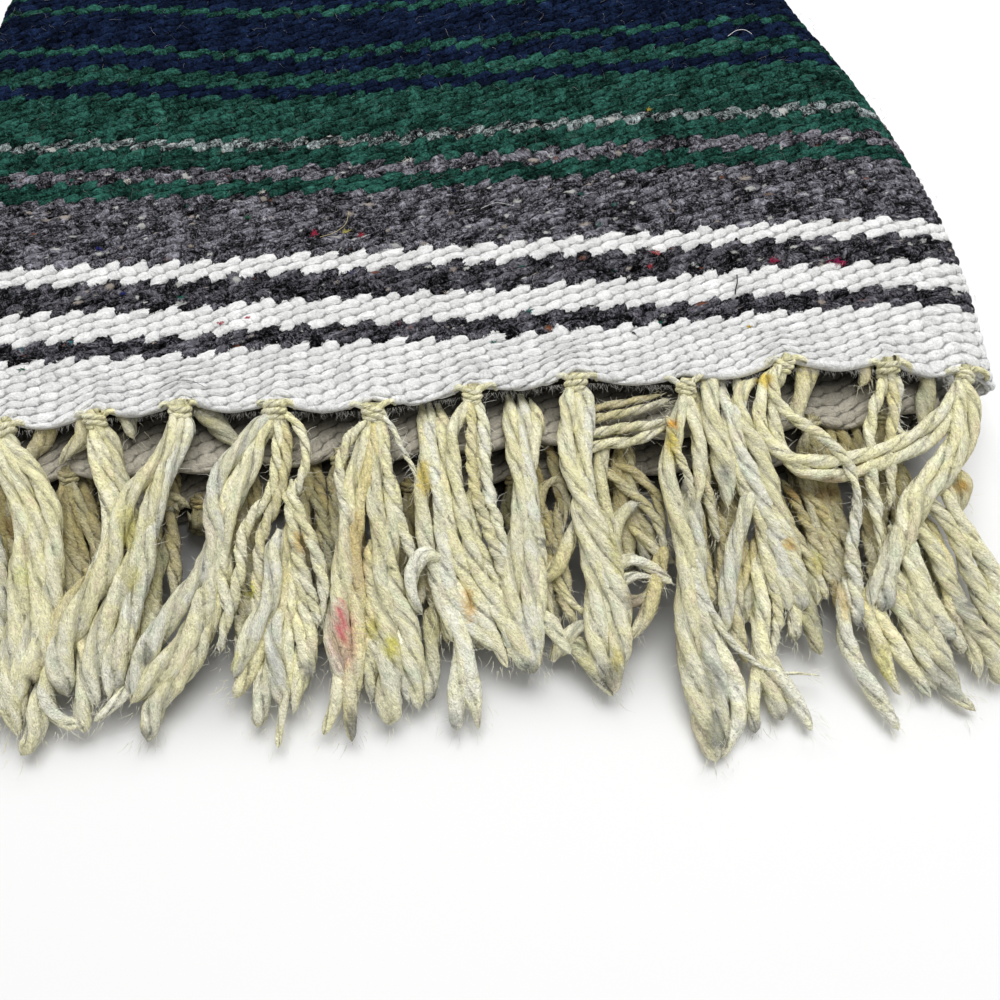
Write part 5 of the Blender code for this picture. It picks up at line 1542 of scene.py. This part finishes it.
def make_top_fringe():
    """The top row of tassels as seen from above: its knots and its yarns, left and right."""
    fringe = bpy.context.scene.serape_fringe
    step, sides = fringe.step / MM, fringe.sides
    knots = []
    for i, knot in enumerate(TOP_KNOTS):
        forward = knot.forward + 1.0
        centre = (knot.x, -forward, level_height(0.0, forward) + 0.6)
        knots += wrap_yarn(centre, knot.lean, knot.size, 0.7 * i, 12)
        knots += edge_ties(knot, 50.0 + i, step, 8)
    left, right = top_yarns(step, sides)
    fringe_piece("top_tassels_left", left, "fringe_top")
    fringe_piece("top_tassels_right", right, "fringe_top")
    fringe_piece("top_knots", knots, "fringe_top")


def open_reach(x, reach):
    """How far forward a lower yarn may reach at x, where the floor shows between tassels."""
    for space in OPEN_SPACES:
        if space.left < x < space.right:
            reach = min(reach, space.forward)
    return reach


def lower_row_yarns(row, knots):
    """The yarns of a lower row, spread from its knots by rule."""
    yarns = []
    for k, x in enumerate(knots):
        for n in range(row.yarns):
            seed = 10.0 * k + n + 100.0 * row.level
            spread = (n + 0.5) / row.yarns - 0.5
            tip_x = x + 17.0 * spread + 9.0 * (wobble(seed, 7.0) - 0.5)
            reach = row.reach - row.vary * wobble(seed, 8.0)
            reach = min(open_reach(tip_x, reach), open_reach(0.5 * (x + tip_x), reach))
            bend = 5.0 * (wobble(seed, 9.0) - 0.5)
            way = [(x + 3.0 * spread, row.start), (x + 5.0 * spread + 0.4 * bend, row.start + 5.0)]
            for share in (0.35, 0.62, 0.85, 1.0):
                sway = bend * math.sin(math.pi * share)
                forward = mix(row.start, reach, share) + 3.0 * (share < 1)
                way.append((mix(x, tip_x, share) + sway, forward))
            tone = row.tones[int(len(row.tones) * wobble(seed, 4.0))]
            lay = mix(10.0, 18.0, wobble(seed, 5.0))
            yarns.append(Yarn(tone, 2.8, mix(3.2, 4.4, wobble(seed, 6.0)), lay, row.level, way))
    return yarns


LOWER_KNOT_SHADE = (0.6, 0.57, 0.51)  # painted shade: the lower knots lie in shadow, and look greyer in it


def make_lower_fringe():
    """The three rows of tassels under the top one."""
    fringe = bpy.context.scene.serape_fringe
    step, sides = 1.6 * fringe.step / MM, max(fringe.sides - 4, 6)
    for row, layer in zip(LOWER_ROWS, STEPS):
        parts = []
        for i, x in enumerate(layer.knots):
            centre = (x, layer.edge - 1.2, max(layer.top - 2.4 - 0.4 * layer.droop, 1.9))
            size = 0.9 if layer.top > 4 else 0.62
            for points, faces, grain, tones in wrap_yarn(
                    centre, 0.1, size, 3.0 * i + row.level, 8, row.tones[0]):
                points[:, 2] = np.maximum(points[:, 2], 0.15)
                parts.append((points, faces, grain, tones * LOWER_KNOT_SHADE))
        for i, yarn in enumerate(lower_row_yarns(row, layer.knots)):
            parts.append(grow_yarn(yarn, 300.0 + 40.0 * row.level + i, step, sides))
        fringe_piece(row.node + "_yarns", parts, row.node)


# Loose fibres

def bent_hairs(roots, rises, ways, lengths, halves, tones, sag, rings):
    """Thin three-sided hairs that leave their roots, bow over and sag: a mesh part."""
    count = len(roots)
    share = np.linspace(0.0, 1.0, rings)[None, :, None]
    length = lengths[:, None, None]
    side = np.cross(ways, (0.0, 0.0, 1.0))[:, None, :]
    index = np.arange(count, dtype=float)
    curl = (wobble(index, 21.0) - 0.5)[:, None, None]
    turn = (wobble(index, 22.0) * math.tau)[:, None, None]
    path = (roots[:, None, :] + ways[:, None, :] * length * share
            + rises[:, None, :] * length * 0.5 * (share - sag * share ** 2)
            + side * length * (curl * share ** 2 + 0.06 * np.sin(7.0 * share + turn)))
    corner = np.arange(3) * math.tau / 3.0
    ring = (side[:, :, None, :] * np.cos(corner)[None, None, :, None]
            + np.array((0.0, 0.0, 1.0)) * np.sin(corner)[None, None, :, None])
    taper = halves[:, None, None, None] * (1.0 - 0.75 * share[..., None])
    points = (path[:, :, None, :] + ring * taper).reshape(-1, 3)
    faces = grid_faces(rings, 3, closed=True)
    faces = (faces[None] + (np.arange(count) * rings * 3)[:, None, None]).reshape(-1, 4)
    colours = np.repeat(tones, rings * 3, axis=0)
    return points, faces, points * 1.0, colours


def hair_rises(shares):
    """The upward parts of the ways of hairs, in these shares."""
    return np.tile((0.0, 0.0, 1.0), (len(shares), 1)) * shares[:, None]


def hair_ways(count, seed):
    """Directions of hairs that lie nearly flat."""
    angle = wobble(np.arange(count, dtype=float), seed) * math.tau
    return np.stack((np.cos(angle), np.sin(angle), 0.0 * angle), axis=-1)


def row_colours(distance):
    """The colour of the weft at these distances behind the front edge."""
    sizes = bpy.context.scene.serape_cloth
    ends = np.cumsum([stripe.width for stripe in STRIPES])
    colours = np.array([tuple(getattr(sizes, stripe.yarn)) for stripe in STRIPES])
    folded = HALF_WIDTH - np.abs(np.mod(distance, 2.0 * HALF_WIDTH) - HALF_WIDTH)
    return colours[np.clip(np.searchsorted(ends, folded), 0, len(STRIPES) - 1)]


def cloth_hairs(count, near, far, seed, length):
    """Loose fibres on the upper face between two distances."""
    index = np.arange(count, dtype=float)
    y = mix(near, far, wobble(index, seed))
    left, right = outline(y)
    x = mix(left + 2.0, right - 2.0, wobble(index, seed + 1.0))
    roots = np.stack((x, y, top_height(x, y) - 0.25), axis=-1)
    lengths = length * mix(0.35, 1.0, wobble(index, seed + 2.0) ** 2)
    rises = hair_rises(mix(0.3, 1.3, wobble(index, seed + 3.0)))
    share = wobble(index, seed + 4.0)[:, None] ** 3
    tones = mix(row_colours(y - stripe_drift(x, y)), np.array(srgb(196, 194, 192)), share)
    halves = np.full(count, 0.035)
    return bent_hairs(roots, rises, hair_ways(count, seed + 5.0), lengths, halves, tones, 0.9, 4)


def edge_hairs(count, seed):
    """Loose fibres that stand out round the front edge and the side folds."""
    index = np.arange(count, dtype=float)
    along = wobble(index, seed)
    left, right = outline(0.0)
    x = mix(left + 6.0, right - 6.0, along)
    y = -np.interp(x, [k.x for k in TOP_EDGE], [k.forward for k in TOP_EDGE]) - 2.2
    roots = np.stack((x, y, STACK - CROWN - 1.5 + 0.0 * x), axis=-1)
    ways = unit(np.stack((wobble(index, seed + 1.0) - 0.5, -0.9 + 0.0 * x, 0.0 * x), axis=-1))
    rises = hair_rises(wobble(index, seed + 2.0) - 0.2)
    lengths = mix(0.8, 3.0, wobble(index, seed + 3.0) ** 2)
    tones = np.tile(srgb(196, 194, 188), (count, 1))
    return bent_hairs(roots, rises, ways, lengths, np.full(count, 0.05), tones, 0.8, 4)


def fringe_hairs(parts, every, seed):
    """Loose fibres that stand off the yarns of these parts."""
    points = np.concatenate([part[0] for part in parts])
    tones = np.concatenate([part[3] for part in parts])
    chosen = np.arange(int(seed) % every, len(points), every)
    index = chosen.astype(float)
    roots, count = points[chosen], len(chosen)
    ways = hair_ways(count, seed)
    rises = hair_rises(wobble(index, seed + 1.0) - 0.25)
    lengths = mix(0.8, 3.8, wobble(index, seed + 2.0) ** 2)
    return bent_hairs(roots, rises, ways, lengths, np.full(count, 0.062),
                      mix(tones[chosen], 0.84, 0.5), 0.7, 3)


def frayed_tips(parts, count, seed):
    """The loose ends of fibres that spread from the tips of these parts."""
    lots = []
    for i, (points, faces, _, tones) in enumerate(parts):
        sides = int(faces[0, 3] - faces[0, 0])
        tip = points[-2 * sides:].mean(axis=0)
        ahead = unit(tip - points[-6 * sides:-5 * sides].mean(axis=0))
        index = np.arange(count, dtype=float) + 31.0 * i
        spread = np.stack([wobble(index, seed + k) - 0.5 for k in range(3)], axis=-1)
        spread[:, 2] *= 0.6
        thick = np.linalg.norm(points[-4 * sides:-3 * sides] - tip, axis=1).mean()
        roots = tip - ahead * 0.9 + spread * thick * 1.3
        roots[:, 2] = np.maximum(roots[:, 2], 0.3)
        ways = unit(ahead + 1.2 * spread)
        lengths = mix(0.9, 4.0, wobble(index, seed + 4.0) ** 2)
        halves = mix(0.04, 0.10, wobble(index, seed + 5.0))
        rises = np.zeros((count, 3))
        tone = np.tile(tones[-3 * sides:].mean(axis=0) * 1.1, (count, 1))
        ends = bent_hairs(roots, rises, ways, lengths, halves, tone, 0.5, 3)
        ends[0][:, 2] = np.maximum(ends[0][:, 2], 0.1)
        lots.append(ends)
    return lots


# Stray hairs on the cloth: tone, thickness, places as (x, behind the front edge)
Stray = namedtuple("Stray", "tone thick way")
STRAYS = table_of(
    Stray,
    ((240, 240, 240), 0.16, ((91.5, 119.4), (94.6, 121.3), (97.1, 121.6), (98.8, 119.3))),
    ((30, 28, 30), 0.34, ((78, 30.7), (77.5, 28), (76.8, 26), (76.3, 24.3))),
    ((210, 196, 150), 0.14, ((-32, 52), (-28, 53), (-25, 56), (-24, 60))),
    ((236, 236, 234), 0.12, ((12, 58), (16, 59.5), (21, 58.5))),
    ((60, 56, 60), 0.12, ((-72, 8), (-68, 9.5), (-64, 9), (-61, 7))),
)


# Flecks of dyed wool caught in the weave: place, size and colour
Fleck = namedtuple("Fleck", "x y size colour")
FLECKS = table_of(
    Fleck,
    (-109, 23, 0.9, (30, 96, 100)), (-97, 24, 0.9, (36, 110, 120)), (-58, 27, 0.7, (190, 50, 70)),
    (-51, 28, 0.5, (200, 90, 104)), (-108, 17, 0.7, (30, 96, 70)), (-119, 15.5, 0.7, (60, 124, 108)),
    (12, 15, 0.7, (30, 96, 84)), (22, 24, 0.8, (34, 100, 96)), (48, 15, 0.6, (40, 40, 46)),
    (78.5, 15, 0.6, (206, 178, 70)), (89, 35.4, 1.1, (160, 36, 76)), (105.5, 34.2, 1.6, (150, 26, 84)),
    (107.5, 33.2, 0.9, (170, 40, 80)), (-84, 38.5, 0.6, (40, 50, 120)), (-33.7, 54.1, 1, (170, 40, 70)),
    (-21, 52.4, 0.8, (160, 50, 60)), (-25, 54.1, 1, (200, 190, 110)), (-92, 54.1, 0.9, (40, 40, 110)),
    (6, 64.6, 0.9, (50, 56, 120)), (58, 40.3, 1, (190, 90, 90)), (55.5, 35.8, 0.6, (170, 60, 70)),
    (-7.5, 77.7, 1.3, (210, 208, 200)), (-86, 77.5, 1.2, (214, 212, 204)), (63.7, 92.2, 0.9, (170, 150, 60)),
    (-48, 70, 0.8, (190, 188, 180)), (-52, 61.5, 0.8, (36, 100, 70)), (40, 62, 0.7, (46, 90, 84)),
    (92, 58, 0.7, (150, 120, 90)),
)


FLECK_HAIRS = 22  # hairs of each fleck


def fleck_parts():
    """Short tangled hairs of each fleck."""
    lots = []
    for i, fleck in enumerate(FLECKS):
        index = np.arange(FLECK_HAIRS, dtype=float) + 40.0 * i
        x = fleck.x + 1.8 * fleck.size * (wobble(index, 91.0) - 0.5)
        y = fleck.y + fleck.size * (wobble(index, 92.0) - 0.5)
        roots = np.stack((x, y, top_height(x, y) - 0.15), axis=-1)
        rises = hair_rises(np.full(FLECK_HAIRS, 0.5))
        lengths = fleck.size * mix(0.5, 1.7, wobble(index, 93.0) ** 2)
        tones = np.array(srgb(*fleck.colour)) * mix(0.6, 1.2, wobble(index, 94.0))[:, None]
        lots.append(bent_hairs(roots, rises, hair_ways(FLECK_HAIRS, 95.0 + i), lengths,
                               np.full(FLECK_HAIRS, 0.11), tones, 0.9, 4))
    return lots


def stray_parts():
    """The listed stray hairs."""
    parts = []
    for i, stray in enumerate(STRAYS):
        places = [(x, y, top_height(x, y) + 0.75 + 0.3 * (k % 2))
                  for k, (x, y) in enumerate(stray.way)]
        path = smooth_way(places, 0.7)
        halves = np.full(len(path), stray.thick / 2.0)
        points, faces, grain = tube(path, halves, 5, 40.0, 0.0, 60.0 + i)[:3]
        parts.append((points, faces, grain, np.tile(srgb(*stray.tone), (len(points), 1))))
    return parts


# Loose fibres of the cloth: how many, from and to this far behind the edge, seed, length
CLOTH_HAIRS = ((2400, 0.0, 180.0, 31.0, 4.2), (300, 180.0, 880.0, 41.0, 5.0))
EDGE_HAIRS = 1300
HAIR_SPACING = 2.4  # how many yarn steps lie between two places for a hair
HAIR_EVERY = 5  # one corner in so many there has a hair
TIP_HAIRS = 18  # loose ends at each yarn's tip


def make_hairs():
    """All loose fibres on the cloth and the fringe."""
    fringe = bpy.context.scene.serape_fringe
    cloth = [cloth_hairs(*hairs) for hairs in CLOTH_HAIRS]
    cloth += [edge_hairs(EDGE_HAIRS, 51.0)] + fleck_parts() + stray_parts()
    left, right = top_yarns(HAIR_SPACING * fringe.step / MM, fringe.sides)
    yarns = left + right
    for name, parts, cover in (
            ("cloth_hairs", cloth, "striped_wool"),
            ("fringe_hairs", [fringe_hairs(yarns, HAIR_EVERY, 61.0)], "fringe_yarn"),
            ("fringe_tips", frayed_tips(yarns, TIP_HAIRS, 71.0), "fringe_yarn")):
        points, faces, grain, tones = join_parts(parts)
        piece = new_piece(name, points, faces, stray_fibre(), tones=tones, grain=grain)


# Stage

FLOOR_HALF = 4000.0  # half the width of the floor, in millimetres
LAMP_SIZE, LAMP_PLACE, LAMP_TARGET = (1.2, 0.8), (0.15, 0.1, 1.3), (0.0, -0.42, 0.0)
CAMERA_PLACE = (2.0, -130.07, 243.0)  # from the middle of the fringed edge
CAMERA_TILT, CAMERA_TURN = math.radians(25.0), math.radians(-4.63)
SENSOR_WIDTH = 36.0
CLIP_START = 0.01


def make_floor():
    """A wide floor under the cloth."""
    corners = np.array(((-1, -1, 0), (1, -1, 0), (1, 1, 0), (-1, 1, 0))) * FLOOR_HALF * MM
    mesh = bpy.data.meshes.new("Floor")
    mesh.from_pydata([tuple(corner) for corner in corners], [], [(0, 1, 2, 3)])
    mesh.materials.append(floor_paper())
    floor = bpy.data.objects.new("Floor", mesh)
    bpy.context.scene.collection.objects.link(floor)


def make_light():
    """Even light all round, and a large soft lamp above and behind."""
    scene, sizes = bpy.context.scene, bpy.context.scene.serape_stage
    world = bpy.data.worlds.new("Even light")
    world.use_nodes = True
    background = world.node_tree.nodes["Background"]
    background.inputs["Color"].default_value = (1.0, 1.0, 1.0, 1.0)
    background.inputs["Strength"].default_value = sizes.sky
    scene.world = world
    data = bpy.data.lights.new("Overhead lamp", "AREA")
    data.shape, data.energy = "RECTANGLE", sizes.lamp
    data.size, data.size_y = LAMP_SIZE
    lamp = bpy.data.objects.new("Overhead lamp", data)
    lamp.location = LAMP_PLACE
    lamp.rotation_euler = (Vector(LAMP_TARGET) - lamp.location).to_track_quat("-Z", "Y").to_euler()
    scene.collection.objects.link(lamp)


def make_camera():
    """A camera close over the fringed end."""
    scene, sizes = bpy.context.scene, bpy.context.scene.serape_stage
    data = bpy.data.cameras.new("Camera")
    data.lens = sizes.lens
    data.sensor_width = SENSOR_WIDTH
    data.clip_start = CLIP_START
    camera = bpy.data.objects.new("Camera", data)
    camera.location = (np.array(CAMERA_PLACE) + SHIFT) * MM
    camera.rotation_euler = (CAMERA_TILT, 0.0, CAMERA_TURN)
    scene.collection.objects.link(camera)
    scene.camera = camera


# Operators

def declare_sheet(piece, flat, rests_on, *nodes, with_pieces=()):
    """What a piece of cloth replaces, whose parts are hidden; how it was cut is not used."""
    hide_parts(*nodes)


class SERAPE_OT_cloth(bpy.types.Operator):
    """Make the woven cloth: the top layer, the lower folds and the stepped front ends"""
    bl_idname = "serape.cloth"
    bl_label = "Make the cloth"

    def execute(self, context):
        relief = context.scene.serape_cloth.relief / MM
        front, middle, back = make_top_cloth(relief)
        for piece, flat in ((front, (0.329, FRONT_END * MM + 0.014)),
                            (middle, (0.322, (MIDDLE_END - FRONT_END) * MM)),
                            (back, (0.28, (DEPTH - MIDDLE_END + 55.0) * MM))):
            declare_sheet(piece, flat, ("folded_layers",), "top_layer")
        lower = make_lower_cloth(relief)
        declare_sheet(lower, (0.29, 0.893), ("floor",), "folded_layers")
        fold = make_left_fold(relief)
        declare_sheet(fold, (0.013, 0.888), ("floor",), "folded_layers")
        for step in STEPS:
            piece = make_front_stretch(step, 0.6 * relief)
            declare_sheet(piece, ((step.right - step.left) * MM, 2 * (step.back - step.edge) * MM),
                          ("folded_layers",), step.name)
        return {"FINISHED"}


class SERAPE_OT_fringe(bpy.types.Operator):
    """Make the fringe: four rows of knotted tassels of two-ply yarn"""
    bl_idname = "serape.fringe"
    bl_label = "Make the fringe"

    def execute(self, context):
        make_top_fringe()
        make_lower_fringe()
        return {"FINISHED"}


class SERAPE_OT_hairs(bpy.types.Operator):
    """Make the loose fibres on the cloth and the fringe"""
    bl_idname = "serape.hairs"
    bl_label = "Make the loose fibres"

    def execute(self, context):
        make_hairs()
        return {"FINISHED"}


class SERAPE_OT_stage(bpy.types.Operator):
    """Set up the floor, the light and the camera"""
    bl_idname = "serape.stage"
    bl_label = "Set the stage"

    def execute(self, context):
        context.scene.view_settings.view_transform = "Standard"
        make_floor()
        make_light()
        make_camera()
        return {"FINISHED"}


OPERATORS = (SERAPE_OT_cloth, SERAPE_OT_fringe, SERAPE_OT_hairs, SERAPE_OT_stage)


class SERAPE_PT_panel(bpy.types.Panel):
    """Steps and settings of the folded serape"""
    bl_idname = "SERAPE_PT_panel"
    bl_label = "Folded serape"
    bl_space_type = "VIEW_3D"
    bl_region_type = "UI"
    bl_category = "Serape"

    def draw(self, context):
        scene, layout = context.scene, self.layout
        for settings in (scene.serape_cloth, scene.serape_fringe, scene.serape_stage):
            box = layout.box()
            for name in settings.__annotations__:
                box.prop(settings, name)
        for operator in OPERATORS:
            layout.operator(operator.bl_idname)


CLASSES = (SerapeCloth, SerapeFringe, SerapeStage, *OPERATORS, SERAPE_PT_panel)
SETTINGS = {"serape_cloth": SerapeCloth, "serape_fringe": SerapeFringe,
            "serape_stage": SerapeStage}


def register():
    for cls in CLASSES:
        bpy.utils.register_class(cls)
    for name, group in SETTINGS.items():
        setattr(bpy.types.Scene, name, bpy.props.PointerProperty(type=group))


def unregister():
    for name in SETTINGS:
        delattr(bpy.types.Scene, name)
    for cls in reversed(CLASSES):
        bpy.utils.unregister_class(cls)


def main():
    register()
    for name in ("cloth", "fringe", "hairs", "stage"):
        getattr(bpy.ops.serape, name)()


if __name__ == "__main__":
    main()
